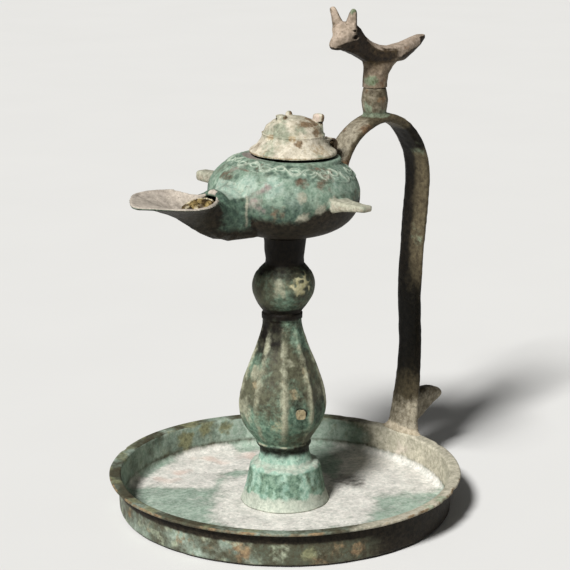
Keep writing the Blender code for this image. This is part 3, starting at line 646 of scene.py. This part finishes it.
# The nozzle's root melts into the bowl, and its facets are worn round.
own = in_seat(at)
root = step(abs(own[:, 0] + 29), 11, 6)
wear_down(mesh, 14, np.maximum(root, 0.5 * step(own[:, 0], -30, -38)))
wear_down(mesh, 2)


def on_shoulder(points):
    """Which points are on the bowl's shoulder, where the frieze runs."""
    at = in_seat(points)
    out = np.hypot(at[:, 0] - LID_AXIS, at[:, 1])
    return (out > FRIEZE[0] - 0.6) & (out < FRIEZE[1] + 0.8) & (at[:, 2] > 31)


finer(mesh, on_shoulder)
at = points_of(mesh)
own = in_seat(at)
x, y, z = own.T
up = normals_of(mesh) @ LAMP_UP
skin_out = abs(round_the_bowl(at) - 1) < 0.03
out = np.hypot(x - LID_AXIS, y)
turn = np.arctan2(y, x - LID_AXIS)
# Two bent straps cross each other in waves, the second one nearly gone, with a leaf in each bend.
band_half = 0.5 * (FRIEZE[1] - FRIEZE[0])
wave_turn = turn * FRIEZE_WAVES + 0.35 * lumps(at, 7, 83)
up_band = out - FRIEZE[0] - band_half + 0.5 * lumps(at, 5, 84)
wave = 0.68 * band_half * np.sin(wave_turn)
strap_a = near(up_band - wave, 1)
strap_b = near(up_band + wave, 0.7) * step(lumps(at, 6, 85), -0.5, 0.2)
border = near(abs(up_band) - band_half + 0.3, 0.4) * step(lumps(at, 8, 86), -0.3, 0.3)
from_bend = ((wave_turn / math.pi) % 1 - 0.5) * math.pi * out / FRIEZE_WAVES
leaf = np.exp(-((np.hypot(from_bend / 2.3, (up_band - 0.15 * wave) / 1.3) - 1) / 0.3) ** 2)
frieze = most(strap_a, 0.8 * strap_b, 0.6 * border, leaf)
frieze *= (out > FRIEZE[0] - 0.6) * step(out, FRIEZE[1] + 0.6, FRIEZE[1]) * (z > 31)
frieze *= step(abs(turn), math.radians(22), math.radians(34)) * skin_out
frieze *= step(lumps(at, 9, 50) + 0.5 * lumps(at, 3, 51), -0.8, 0)
# Casting skin and crust, kept off the lid's seat and the hinge.
crust = spots(at, (1, 24, 31, 171, 6, 52), (1, 17, 34, 167, 6, 53), (1, 9, 37, 164, 5, 54)) * skin_out
free = step(out, 25.6, 26.8) * (skin_out | (x < -36) | (abs(y) > 38))
lift = 0.6 * frieze + 0.3 * crust * (0.6 + 0.4 * lumps(at, 1.8, 55))
lift += 0.2 * lumps(at, 8, 56) + 0.07 * lumps(at, 2.6, 57) - 0.1
place(mesh, at + normals_of(mesh) * (free * lift)[:, None])

stir = 0.7 * lumps(at, 11, 58) + 0.4 * lumps(at, 4, 59)
across = at @ RIGHT
on_nozzle = step(x, -35, -39)
on_scoop = step(x + 0.25 * abs(y) + 3 * stir, -42, -57)
mouth_half = np.interp(x, (-100.4, -98, -90.5, -80, -74, -68, -63, -58, -53.5, -51),
                       (0, 3, 14.2, 22.6, 22.5, 19.7, 15.8, 11, 6, 0))
facing = normals_of(mesh)
# What faces up or in towards the middle is the inside of the nozzle, and what faces out is not.
looks_in = up - 0.8 * np.sign(y) * (facing @ LAMP_Y)
near_mouth = step(abs(y) - mouth_half, 3, 2.2) * step(x, -48.5, -50)
in_scoop = near_mouth * step(looks_in, 0, 0.3) * (z > 13)
rim_edge = near_mouth * step(z, 24.6, 25.8) * step(up, -0.3, 0.2)
lug_part = step(abs(y - 0.9), 38.8, 40.4) * (1 - on_scoop)
# The upper skin is mint and green, clouded, and below a line that rises under the right lug it is
# dark: painted shade under the bowl and its lug, with soot and old oil.
high = step(z + 4 * stir, 23, 35)
shade_line = 14.5 + 6 * step(across, 6, 24) + 1.6 * stir
low = skin_out * step(z, shade_line + 6, shade_line - 5)
band = skin_out * step(out, 36, 34.4) * step(out, 25, 26.5) * (z > 31)
seat_ring = step(out, 26.6, 26) * (z > 36)
# The collar is pale along its top, rubbed and with a painted highlight.
lip = step(x, -25, -29) * step(x, -49, -46) * step(z + 1.5 * stir, 22, 26.5)
lip *= step(z, 32.5, 31) * step(abs(y), 14, 11)
paint(mesh, "teal", (0.75 + 0.35 * stir) * (1 - in_scoop) * (1 - 0.25 * on_nozzle))
# The deep green thickens towards the bottom of the bowl, as painted shade.
paint(mesh, "deep", spots(at, (0.7, -30, 23, 182, 10, 74)), 0.75 * on_nozzle * (1 - rim_edge),
    0.75 * step(z + 3 * stir, 28, 18), (0.4 + 0.6 * lumps(at, 6, 60)) * (1 - high),
    0.52 * band * (1 - frieze), 0.1 * step(across, 26, 36))
paint(mesh, "mint", most(spots(at, (1, -20, 32, 179, 12, 76), (1, -6, 37, 182, 11, 77),
    (0.5, 4, 38, 173, 9, 78), (0.75, 28, 24, 183, 9, 79)), 0.9 * lip, 0.3 * band,
    0.4 * step(across, 14, 26) * step(z - shade_line, 2, 6), 0.2 * high * step(stir, -0.2, 0.5))
    * (1 - on_nozzle * (1 - lip)))
paint(mesh, "mauve", spots(at, (0.8, -10, 37, 180, 6, 61), (0.55, -14, 35, 171, 9, 62),
    (0.5, -24, 20, 189, 9, 80)), 0.7 * seat_ring * spot(at, front(-20, 4, 189), 22, 81), 0.9 * in_scoop)
# Brown also lies in the painted shade of the low zone.
paint(mesh, "brown", most(spots(at, (0.95, 20, 32, 182.5, 8.5, 63), (0.85, 9, 36, 182.5, 7, 64),
    (0.7, -29, 20, 183, 9, 65), (0.7, -5, 38, 167, 7, 66)), 0.9 * step(x, 24, 28) * (z > 38),
    0.45 * step(stir, 0.35, 0.7), 0.5 * low) * (1 - on_nozzle))
junction = near(across + 19 + 0.6 * stir, 0.9) * step(z, 8, 12) * step(z, 28.5, 26) * (y < 0)
crust_line = near(z - shade_line - 2.5, 1.8) * step(across, 0, 9) * skin_out
crust_line *= step(lumps(at, 3, 82), -0.4, 0.3)
paint(mesh, "cream", spots(at, (0.6, 8.5, 37, 174.5, 5.5, 67)), 0.75 * crust, 0.6 * crust_line,
    lug_part * (0.72 + 0.4 * stir), 0.3 * lip, 0.6 * rim_edge * step(x, -60, -57), 0.6 * junction)
paint(mesh, "line", (0.75 + 0.2 * stir) * frieze)
paint(mesh, "russet", 0.75 * band * (1 - frieze) * spot(at, front(-20, 22, 188), 18, 68)
    * step(stir, -0.6, 0.1), 0.5 * band * spot(at, front(20, 24, 187), 12, 69),
    0.35 * lug_part * step(up, 0.4, 0))
under_nozzle = step(x, -18, -24) * step(z + 2.5 * stir, 16, 5)
# Painted shade below the shade line, under the nozzle's root and on the scoop's downward faces. The
# nozzle is also patchily dark, and the inside of the bowl is dark.
paint(mesh, "soot_and_shade", low, on_scoop * step(up, 0.05, -0.45), under_nozzle,
    0.35 * on_nozzle * step(stir, 0.1, 0.6) * (1 - rim_edge), 0.9 * (out < 19.5) * (z > 5))
paint(mesh, "ash", in_scoop * (0.85 + 0.3 * lumps(at, 5, 90)), 0.65 * rim_edge)
paint_edges(mesh, 6, 0.3, 0.5, 0.6)

metal = buried_bronze("buried_bronze_of_the_bowl", ("#363025", "#55503f", "#5f6654"), (
    ("teal", "#637968", "#8c9d8c", 4, 1, 0.05, 0.66),
    ("deep", "#33413a", "#566b5a", 3.6, 1.2, 0.03, 0.6),
    ("mint", "#7e9486", "#a0ae9f", 4, 1.1, 0.05, 0.7),
    ("mauve", "#7d716c", "#978982", 3.6, 1.1, 0, 0.62),
    ("brown", "#47392d", "#6f5f4e", 3, 1.2, 0, 0.55),
    ("dirt", "#2a2419", "#433c2c", 2, 0.7, 0, 0.75),
    ("cream", "#8c8b79", "#aeab99", 2.6, 1.1, 0.06, 0.85),
    ("line", "#8f9b89", "#b6bfae", 2, 1, 0, 0.75),
    ("russet", "#5c4034", "#846555", 2, 0.9, 0, 0.7),
    ("soot_and_shade", "#17130d", "#332c22", 3.6, 0.9, 0, 0.55),
    ("ash", "#9c9387", "#b8aea1", 3.4, 0.6, 0.05, 0.9),
), pits=0.35)
finish("lamp_bowl", mesh, metal, "stand", ["lamp_body"])

# Burnt oil and wick ash lie in crumbs at the mouth of the nozzle, held there by old oil.
dice = np.random.default_rng(3)
crumb_lumps = []
for _ in range(100):
    spread = dice.uniform(-1, 1, 2)
    size = dice.uniform(0.8, 1.7)
    heart = np.array([-56 + 8 * spread[0], 1 + 7 * spread[1], 25.6 - 2.6 * np.sum(spread ** 2) - size])
    rings = []
    for tall in (-1, -0.6, 0, 0.6, 1):
        wide = size * (1.05 - 0.75 * abs(tall) ** 1.6)
        turns = np.arange(7) * 2 * math.pi / 7 + dice.uniform(0, 1)
        knobs = wide * dice.uniform(0.7, 1.2, 7)
        rings.append(heart + np.column_stack([knobs * np.cos(turns), knobs * np.sin(turns),
            np.full(7, size * tall)]))
    points, faces = closed_loft(rings)
    crumb_lumps.append((seated(points), faces))
mesh = recast(None, 0.3, 1, "nozzle_crumbs", crumb_lumps)
at = points_of(mesh)
paint(mesh, "gold", 0.5 + 0.9 * lumps(at, 2.2, 70))
paint(mesh, "ash", 0.3 + 0.9 * lumps(at, 3, 71))
paint_edges(mesh, 5, 0.15)
ash = buried_bronze("burnt_oil_and_wick_ash", ("#241a10", "#3d2f1a", "#4a3b22"), (
    ("gold", "#64532f", "#978457", 1.6, 0.9, 0.05, 0.7),
    ("ash", "#a79b7d", "#c6bb9f", 1.6, 0.9, 0.05, 0.9),
    ("dirt", "#120d08", "#241b11", 1.2, 0.5, 0, 0.6),
), pits=0.4)
finish("nozzle_crumbs", mesh, ash, "stand", [])


# ---- Lid ----
# A domed lid cast with a ridge round it, a curled stub, a knob and a fin, the remains of a knop.
# It turns on the hinge pin, and its rim stands just clear of the bowl.

LID_FACETS = 2 * math.pi / 30
CURL_AT = (-4.4, 2.4, 60.2)
# The face of the hollow under the dome, as radius from the lid's axis and height.
LID_HOLLOW = ((0, 59), (6, 58.2), (10, 56.2), (12.9, 53), (14.2, 50.2), (16.2, 46.4))
# The fin is thick and round-topped, and the curl is stout. Each starts narrow, inside the dome's wall.
stout_lumps = []
for middle_x, middle_y, half_x, half_y, foot, top in ((13.2, -8.4, 2.4, 3.5, 57, 63.6),
                                                      (-3.5, 1.6, 2.8, 3.2, 58.6, 62.8)):
    stout_rings = []
    for share, wide in ((0, 0.5), (0.25, 0.95), (0.6, 1), (0.78, 0.9), (0.9, 0.7), (0.97, 0.45),
            (1, 0.2)):
        height = foot + (top - foot) * share
        stout_rings.append(seated(oval(12, middle_x, middle_y, height, wide * half_x, wide * half_y)))
    stout_lumps.append(closed_loft(stout_rings))


def flush_hollow(mesh):
    """The lid's points, with what hangs inside its hollow taken up to the hollow's own face."""
    inner = in_seat(points_of(mesh))
    out = np.hypot(inner[:, 0] - LID_AXIS, inner[:, 1])
    face = np.interp(out, *zip(*LID_HOLLOW))
    hanging = (out < 16) & (inner[:, 2] < face - 0.3)
    inner[hanging, 2] = face[hanging]
    return seated(inner)


mesh = recast("lid", 0.42, 3, "lid_dome", stout_lumps, flush_hollow)
own = in_seat(points_of(mesh))
x, y, z = own.T
turn = np.arctan2(y, x - LID_AXIS)
# The turned form has no facets, so each one is swelled out round.
swell = np.cos(turn % LID_FACETS - LID_FACETS / 2) / math.cos(LID_FACETS / 2) - 1
own[:, 0] += (x - LID_AXIS) * swell * (z < 57) * (x < 24)
own[:, 1] += y * swell * (z < 57) * (x < 24)
# The stubs are worn down, and the curl most of all.
by_curl = step(np.hypot(x + 3.5, y - 1.6), 6, 4)
own[:, 2] -= (0.45 + 0.2 * by_curl) * np.maximum(z - 61.4, 0)
place(mesh, seated(own))
at = points_of(mesh)
facing = normals_of(mesh)
out = np.hypot(x - LID_AXIS, y)
across = at @ RIGHT
skin = (facing[:, 2] > -0.2) & (out > 3)
# The curl is rolled over a hollow that faces the nozzle, and the knob is worn round.
to_curl = (own - np.array(CURL_AT)) - np.outer(facing @ -RIGHT > 0.2, (-1.6, 1.2, 0))
curl_far = np.linalg.norm(to_curl, axis=1)
curl_dip = step(curl_far, 1.9, 0.7) * (z > 59)
from_axis = (own[:, :2] - np.array([LID_AXIS, 0])) / np.maximum(out, 0.1)[:, None]
in_lid = (np.sum((facing @ np.array(LAMP_SEAT)[:3, :2]) * from_axis, axis=1) < -0.1) & (z < 55.5)
lift = 0.22 * lumps(at, 7, 100) + 0.1 * lumps(at, 2.4, 101) - curl_dip
lift *= step(z, 42.6, 43.6) * skin
place(mesh, at + facing * lift[:, None])
stir = 0.7 * lumps(at, 8, 102) + 0.4 * lumps(at, 3, 103)
on_dome = step(z, 51.5, 52.5)
by_ridge = near(z - 51.6, 2)
paint(mesh, "cream", (0.8 + 0.35 * stir) * (1 - 0.3 * on_dome))
paint(mesh, "green", spots(at, (0.75, -2, 10, 204, 10, 104), (0.6, 8, 10, 205, 8, 105),
    (0.55, -10, 12, 195, 9, 106)), 0.3 + 0.5 * lumps(at, 6, 107))
paint(mesh, "brown", spots(at, (0.85, 9, 6, 206, 5.5, 108), (0.75, 16.5, 6, 201.5, 5, 109),
    (0.85, 7, 13.4, 197.5, 3.6, 110), (0.35, -8.5, 8, 202, 5, 111), (0.6, -15, 2, 194, 6, 112),
    (0.15, 21, 2, 194, 7, 113)), 0.75 * (z > 57) * (facing @ RIGHT > 0.3),
    0.45 * by_ridge * step(stir, 0, 0.5))
paint(mesh, "orange", spots(at, (0.5, 17, 10, 192, 9, 115), (0.4, -12, 12, 193, 6, 116)),
    0.7 * by_ridge * step(lumps(at, 5, 114), -0.1, 0.5), 0.75 * step(z, 43.6, 42.4) * skin)
paint(mesh, "rose", spots(at, (0.6, -4, 18, 195, 5, 117)),
    0.6 * (z > 57.5) * (facing @ -RIGHT > 0.1) * (across > 8))
# Painted shade in the curl's hollow and over the inside of the lid.
paint(mesh, "soot_and_shade", curl_dip, 0.9 * ((facing[:, 2] < -0.4) | in_lid))
paint(mesh, "pale", 0.8 * near(z - 52.1, 0.35) * step(out, 15.6, 16.1) * (0.7 + 0.4 * stir))
paint_edges(mesh, 8, 0.16, 0.35, 0.6)
metal = buried_bronze("buried_bronze_of_the_lid", ("#7a725d", "#9a937c", "#aea996"), (
    ("cream", "#b0a793", "#cdc5b3", 2.6, 1, 0.06, 0.8),
    ("green", "#767966", "#9a9f8a", 2.6, 1.1, 0, 0.7),
    ("rose", "#a29082", "#b8a89b", 2.4, 1.1, 0, 0.8),
    ("orange", "#806b4f", "#9f8b6b", 2, 1.2, 0, 0.7),
    ("brown", "#655340", "#8a765c", 2, 1.3, 0, 0.65),
    ("dirt", "#2c2619", "#4a4130", 1.6, 0.8, 0, 0.75),
    ("worn", "#a19c88", "#b9b5a2", 1.4, 1.1, 0, 0.5),
    ("pale", "#b0a993", "#c8c2ad", 1.6, 1.1, 0, 0.6),
    ("soot_and_shade", "#17130d", "#2f281d", 3, 0.6, 0, 0.6),
), pits=0.4)
finish("lid_dome", mesh, metal, "lid", ["lid"])

# The hinge pin is a plain drawn rod with spread ends, brown and rubbed.
rubbed = buried_bronze("rubbed_brown_bronze_of_the_pin", ("#3a2f22", "#5f4f3c", "#7c6c56"), (), 0.4)
for pin_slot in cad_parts["hinge_pin"].material_slots:
    pin_slot.material = rubbed


# ---- Handle ----
# A flat cast strap that rises from the bowl's shoulder, goes over in an arch and comes down on the
# tray's rim, where it is soldered. A blunt spur stands out behind its foot.

# The solder has run out along the rim in a low fillet, given as y, half depth and height in mm.
fillet_rings = []
for middle_y, deep, high in ((-15, 0.8, 0.3), (-12.5, 1.9, 1.5), (-10, 2.8, 3.6), (0, 3.6, 4.4),
                             (10, 2.8, 3.6), (12.5, 1.9, 1.5), (15, 0.8, 0.3)):
    fillet_turns = np.arange(10) * 2 * math.pi / 10
    fillet_rings.append(np.column_stack([
        90.6 + deep * np.cos(fillet_turns), np.full(10, middle_y),
        19.4 + high * np.maximum(np.sin(fillet_turns), -0.1)]))
# A low skirt flows from the arch up to the bulb, given as height, half depth and half width in mm.
skirt_rings = []
for height, half_x, half_y in ((199.5, 7.6, 6.9), (201.6, 7.3, 6.6), (203, 6.6, 6.2), (204.2, 6, 5.8)):
    skirt_rings.append(oval(16, 66, 0, height, half_x, half_y))
mesh = recast("handle", 0.56, 8, "strap_handle", [closed_loft(fillet_rings), closed_loft(skirt_rings)])
at = points_of(mesh)
x, y, z = at.T
facing = normals_of(mesh)
lift = 0.2 * lumps(at, 9, 120) + 0.1 * lumps(at, 3, 121)
free = step(z, 22, 26) * step(np.hypot(x - 4, y), 40, 44) * step(x, 120.3, 119.5)
place(mesh, at + facing * (lift * free)[:, None])
stir = 0.7 * lumps(at, 10, 122) + 0.4 * lumps(at, 4, 123)
near_edge = step(y, 3, -5.5)
rising = step(x, 72, 50) * step(z, 160, 175)
bulb_part = step(z, 202.5, 204.5)
outer = step(x, 84, 92)
paint(mesh, "grey", rising * (0.66 + 0.35 * stir) * step(facing @ TOWARD, -0.2, 0.2)
    * step(y, -7.8, -5.5), step(z + 3 * stir, 47, 32) * (0.9 - 0.35 * (1 - near_edge)),
    (0.5 + 0.45 * stir) * bulb_part, 0.5 * step(x, 103, 108))
paint(mesh, "umber", outer * near_edge * step(z, 92, 108) * (0.75 + 0.4 * stir),
    step(x, 94, 80) * (0.65 + 0.4 * stir), 0.55 * step(abs(z - 128), 24, 10) * outer)
paint(mesh, "sand", 0.95 * step(z + 1.5 * stir, 25.5, 21.5), 0.4 * bulb_part * step(stir, 0, 0.6))
paint(mesh, "green", spots(at, (0.7, 43.5, -39, 207, 5, 124), (0.6, 51, -40, 204, 5, 125),
    (0.55, 70, -60, 182, 12, 126), (0.4, 68, -62, 132, 12, 127)),
    0.7 * step(z, 206, 203.5) * step(np.hypot(x - 66, y), 9.5, 7) * step(z, 200.5, 202.5))
paint(mesh, "rusty", spots(at, (0.7, 42, -30, 197, 7, 128), (0.65, 33, -22, 180, 9, 129),
    (0.6, 50, -42, 211, 6, 131)), 0.45 * step(lumps(at, 4, 130), 0.3, 0.7)
    * np.maximum(rising, bulb_part))
paint(mesh, "soot_and_shade", outer * step(z + 5 * stir, 40, 62) * step(z + 9 * stir, 120, 88) * 0.85,
    outer * (1 - near_edge) * step(z, 90, 105) * (0.85 + 0.3 * stir) * step(z, 199, 190),
    0.8 * step(np.hypot(x - 92, z - 187) + 5 * stir, 15, 5), 0.75 * step(y, -6.5, -8) * rising)
paint_edges(mesh, 8, 0.3, 0.35, 0.6)
metal = buried_bronze("buried_bronze_of_the_handle", ("#282218", "#40392a", "#554d3b"), (
    ("umber", "#41392b", "#5f5642", 3.4, 1, 0, 0.6),
    ("grey", "#6f6756", "#9c9482", 3.4, 1.1, 0.03, 0.75),
    ("green", "#565e4c", "#83907a", 2.6, 1.1, 0, 0.75),
    ("rusty", "#4f3c2c", "#7d6247", 2.2, 1.1, 0, 0.7),
    ("soot_and_shade", "#0c0a06", "#1f1a12", 3.4, 0.8, 0, 0.55),
    ("dirt", "#1d1912", "#332d20", 1.6, 0.7, 0, 0.75),
    ("worn", "#7b735f", "#97907c", 1.4, 1.2, 0, 0.5),
    ("sand", "#938873", "#b6aa95", 3, 0.8, 0.04, 0.85),
), pits=0.45)
finish("strap_handle", mesh, metal, "stand", ["handle"])


# ---- Finial ----
# A small long-eared animal on a post, cast in one and set on the bulb of the arch. Its face and
# back are flat and catch the light, and its eyes are deep cuts under a punched ring.

EYE_AT = (43.4, 7.2, 246)
RING_AT = (42.6, 6.9, 249.7)
ear_lumps = []
for side in (-1, 1):
    # Each ear is a wide tongue with a round tip: a share of its height, and half its sizes in mm.
    ear_rings = []
    for along, half_x, half_y in ((-0.1, 3, 3.6), (0.25, 2.7, 3.2), (0.55, 2.2, 2.7),
                                  (0.8, 1.8, 2.2), (0.92, 1.4, 1.6), (0.985, 0.7, 0.8)):
        middle_y = side * (3.6 + 4.4 * along)
        ear_rings.append(oval(12, 42.6 - 1.6 * along, middle_y, 250 + 11.6 * along, half_x, half_y))
    ear_lumps.append(closed_loft(ear_rings))
mesh = recast("finial", 0.42, 5, "animal_finial", ear_lumps)
# The ears are worn down a little from the height they were cast at, and the muzzle narrows.
at = points_of(mesh)
x, y, z = at.T
at[:, 2] -= 0.1 * np.maximum(z - 252, 0)
muzzle = step(z, 248, 239) * step(x, 48, 42)
at[:, 1] *= 1 - muzzle * np.where(y < 0, 0.42, 0.12)
# The cheek away from the camera is worn flat, and the post comes down almost to the bulb.
cheek = near(z - 246.4, 2.6) * step(x, 52, 48)
cheek *= step(normals_of(mesh) @ -RIGHT, 0.1, 0.7)
at += 1.5 * cheek[:, None] * RIGHT
at[:, 2] -= 0.25 * step(z, 219.4, 218)
place(mesh, at)
at = points_of(mesh)
x, y, z = at.T
facing = normals_of(mesh)
mirrored = np.column_stack([x, abs(y), z])
eye_far = np.linalg.norm((mirrored - np.array(EYE_AT)) / np.array([2, 1.6, 1.15]), axis=1)
ring_far = np.linalg.norm(mirrored - np.array(RING_AT), axis=1)
eye = step(eye_far, 1.15, 0.7)
ring_pit = step(ring_far, 0.75, 0.35)
ring_lip = near(ring_far - 1.35, 0.35)
eyelid = near(eye_far - 1.35, 0.22) * (z < EYE_AT[2])
in_ear = step(z, 251.5, 254) * step(z, 260, 258) * step(facing[:, 0], -0.4, -0.8)
lift = 0.12 * lumps(at, 5, 140) + 0.07 * lumps(at, 2, 141)
lift += 0.25 * eyelid + 0.25 * ring_lip - 1.1 * eye - 0.7 * ring_pit - 0.4 * in_ear
lift *= step(z, 218, 219) * step(z, 261.4, 260.6)
place(mesh, at + facing * lift[:, None])
stir = 0.7 * lumps(at, 6, 142) + 0.4 * lumps(at, 2.4, 143)
on_animal = step(z, 230, 233)
top = on_animal * step(facing[:, 2], 0.35, 0.7)
head = step(x - 0.7 * (z - 246) + 1.2 * stir, 45.5, 42)
head *= step(facing[:, 2], -0.6, -0.3) * step(facing[:, 0], 0.2, -0.1)
shoulder = step(abs(x - 60) + 2.5 * stir, 9, 4) * step(facing[:, 2] + 0.3 * stir, 0.05, 0.55)
tail = step(x + 3 * stir, 72, 82) * step(x, 98.5, 96) * step(
    z - 231.5 - 0.3 * (x - 78) + stir, -0.5, 1.5)
post_part = step(z, 232, 228.5) * step(x, 84, 78)
# The ear at the right and the outer edge of the other one have lost their buff crust.
bare_ear = np.maximum(
    0.9 * spot(at, (42, -5.2, 253), 3.6, 151),
    0.8 * step(z, 249.5, 251.5) * step(facing @ -RIGHT, 0.55, 0.85))
paint(mesh, "buff", top * (0.8 + 0.3 * stir), head * (0.9 + 0.2 * stir) * (1 - bare_ear),
    post_part * (0.3 + 0.4 * stir), 0.9 * shoulder, 0.9 * tail, 0.8 * in_ear, 0.7 * eyelid,
    0.7 * ring_lip)
paint(mesh, "umber", post_part * (0.8 + 0.3 * stir), 0.6 * on_animal * step(z, 252, 255),
    0.5 * step(x, 80, 90), 0.5 * on_animal * step(z, 236, 230), 0.8 * bare_ear)
paint(mesh, "green", spots(at, (0.75, 45, -40, 221, 6, 145)), 0.8 * spot(at, (41, -7.4, 259.5), 3, 144))
paint(mesh, "rusty", spots(at, (0.7, 50, -42, 220, 4.5, 146), (0.6, 68, -52, 239, 7, 147)),
    0.4 * top * step(stir, 0.2, 0.6))
# Soot and painted shade: painted shade under the animal where it faces down. The eye cuts, the ring's
# pit, the tail's tip and the neck are dark.
paint(mesh, "soot_and_shade", eye, ring_pit, 0.9 * step(x, 94.5, 97),
    0.8 * on_animal * step(facing[:, 2], 0.2, -0.1) * (1 - head) * (1 - shoulder) * (1 - tail),
    0.85 * step(x, 43, 46.5) * step(x, 57, 55) * on_animal)
paint_edges(mesh, 8, 0.2, 0.3, 0.6)
metal = buried_bronze("buried_bronze_of_the_animal", ("#2b231a", "#463a2b", "#63553f"), (
    ("umber", "#5b4f41", "#80725f", 2.4, 1, 0, 0.7),
    ("soot_and_shade", "#17120d", "#382d22", 2.6, 0.8, 0, 0.55),
    ("buff", "#857767", "#ab9b8b", 2.4, 0.9, 0.03, 0.75),
    ("green", "#535d42", "#7f8a74", 2, 1, 0, 0.75),
    ("rusty", "#5d4430", "#8d6d4f", 2, 1.1, 0, 0.7),
    ("dirt", "#1d1711", "#35291d", 1.6, 0.7, 0, 0.75),
    ("worn", "#8d7f6f", "#a99c8b", 1.4, 1.2, 0, 0.5),
), pits=0.35)
finish("animal_finial", mesh, metal, "stand", ["finial"])


# ---- Floor, light and camera ----
# A pale matt table top under one soft lamp at the upper left, as in a small studio. A dim room
# fills the shadows, and the camera looks a little down on the lamp from its nozzle's side.

TABLE_HALF = 6.0
CAMERA_FROM = Vector((-0.6513, -0.6888, 0.3676))
CAMERA_AT = Vector((0.0, 0.0, 0.1205))
CAMERA_LENS = 119.05

table_mesh = bpy.data.meshes.new("table_top")
table_mesh.from_pydata([(-TABLE_HALF, -TABLE_HALF, 0), (TABLE_HALF, -TABLE_HALF, 0),
                        (TABLE_HALF, TABLE_HALF, 0), (-TABLE_HALF, TABLE_HALF, 0)], [], [(0, 1, 2, 3)])
table = linked("table_top", table_mesh)
table.location.z = -0.0002
table_paint = bpy.data.materials.new("matt_white_paint")
table_paint.use_nodes = True
paint_grain = add(table_paint.node_tree, "TexNoise", {}, {"Scale": 90.0, "Detail": 3.0})
paint_tone = add(table_paint.node_tree, "Mix", {"data_type": "RGBA"}, {
    0: paint_grain, 6: linear("#d6d5d2"), 7: linear("#dad9d6")}, 2)
table_shader = table_paint.node_tree.nodes["Principled BSDF"]
table_paint.node_tree.links.new(paint_tone, table_shader.inputs["Base Color"])
table_shader.inputs["Roughness"].default_value = 0.9
table_shader.inputs["Specular IOR Level"].default_value = 0.2
table_mesh.materials.append(table_paint)

# The key stands to the camera's left and well above it, far off, so that it lights evenly.
KEY_LEFT = math.radians(31.0)
KEY_RISE = math.radians(44.0)
camera_turn = math.atan2(CAMERA_FROM.y, CAMERA_FROM.x)
key_data = bpy.data.lights.new("key", "SUN")
key_data.energy = 5.0
key_data.angle = math.radians(13.0)
key = linked("key", key_data)
key.rotation_euler = Euler((math.pi / 2.0 - KEY_RISE, 0.0, camera_turn - KEY_LEFT + math.pi / 2.0))

# The room is pale to look at and gives little light.
room = bpy.data.worlds.new("room")
room.use_nodes = True
room_sight = add(room.node_tree, "LightPath", {}, {})
room_light = add(room.node_tree, "MapRange", {}, {"Value": room_sight, "To Min": 0.11, "To Max": 0.85})
room_back = room.node_tree.nodes["Background"]
room_back.inputs["Color"].default_value = linear("#f6f6f4")
room.node_tree.links.new(room_light, room_back.inputs["Strength"])
bpy.context.scene.world = room
bpy.context.scene.view_settings.view_transform = "Standard"

camera_data = bpy.data.cameras.new("camera")
camera_data.lens = CAMERA_LENS
camera_data.sensor_width = 36.0
camera = linked("camera", camera_data)
camera.location = CAMERA_FROM
camera.rotation_euler = (CAMERA_AT - CAMERA_FROM).to_track_quat("-Z", "Y").to_euler()
bpy.context.scene.camera = camera
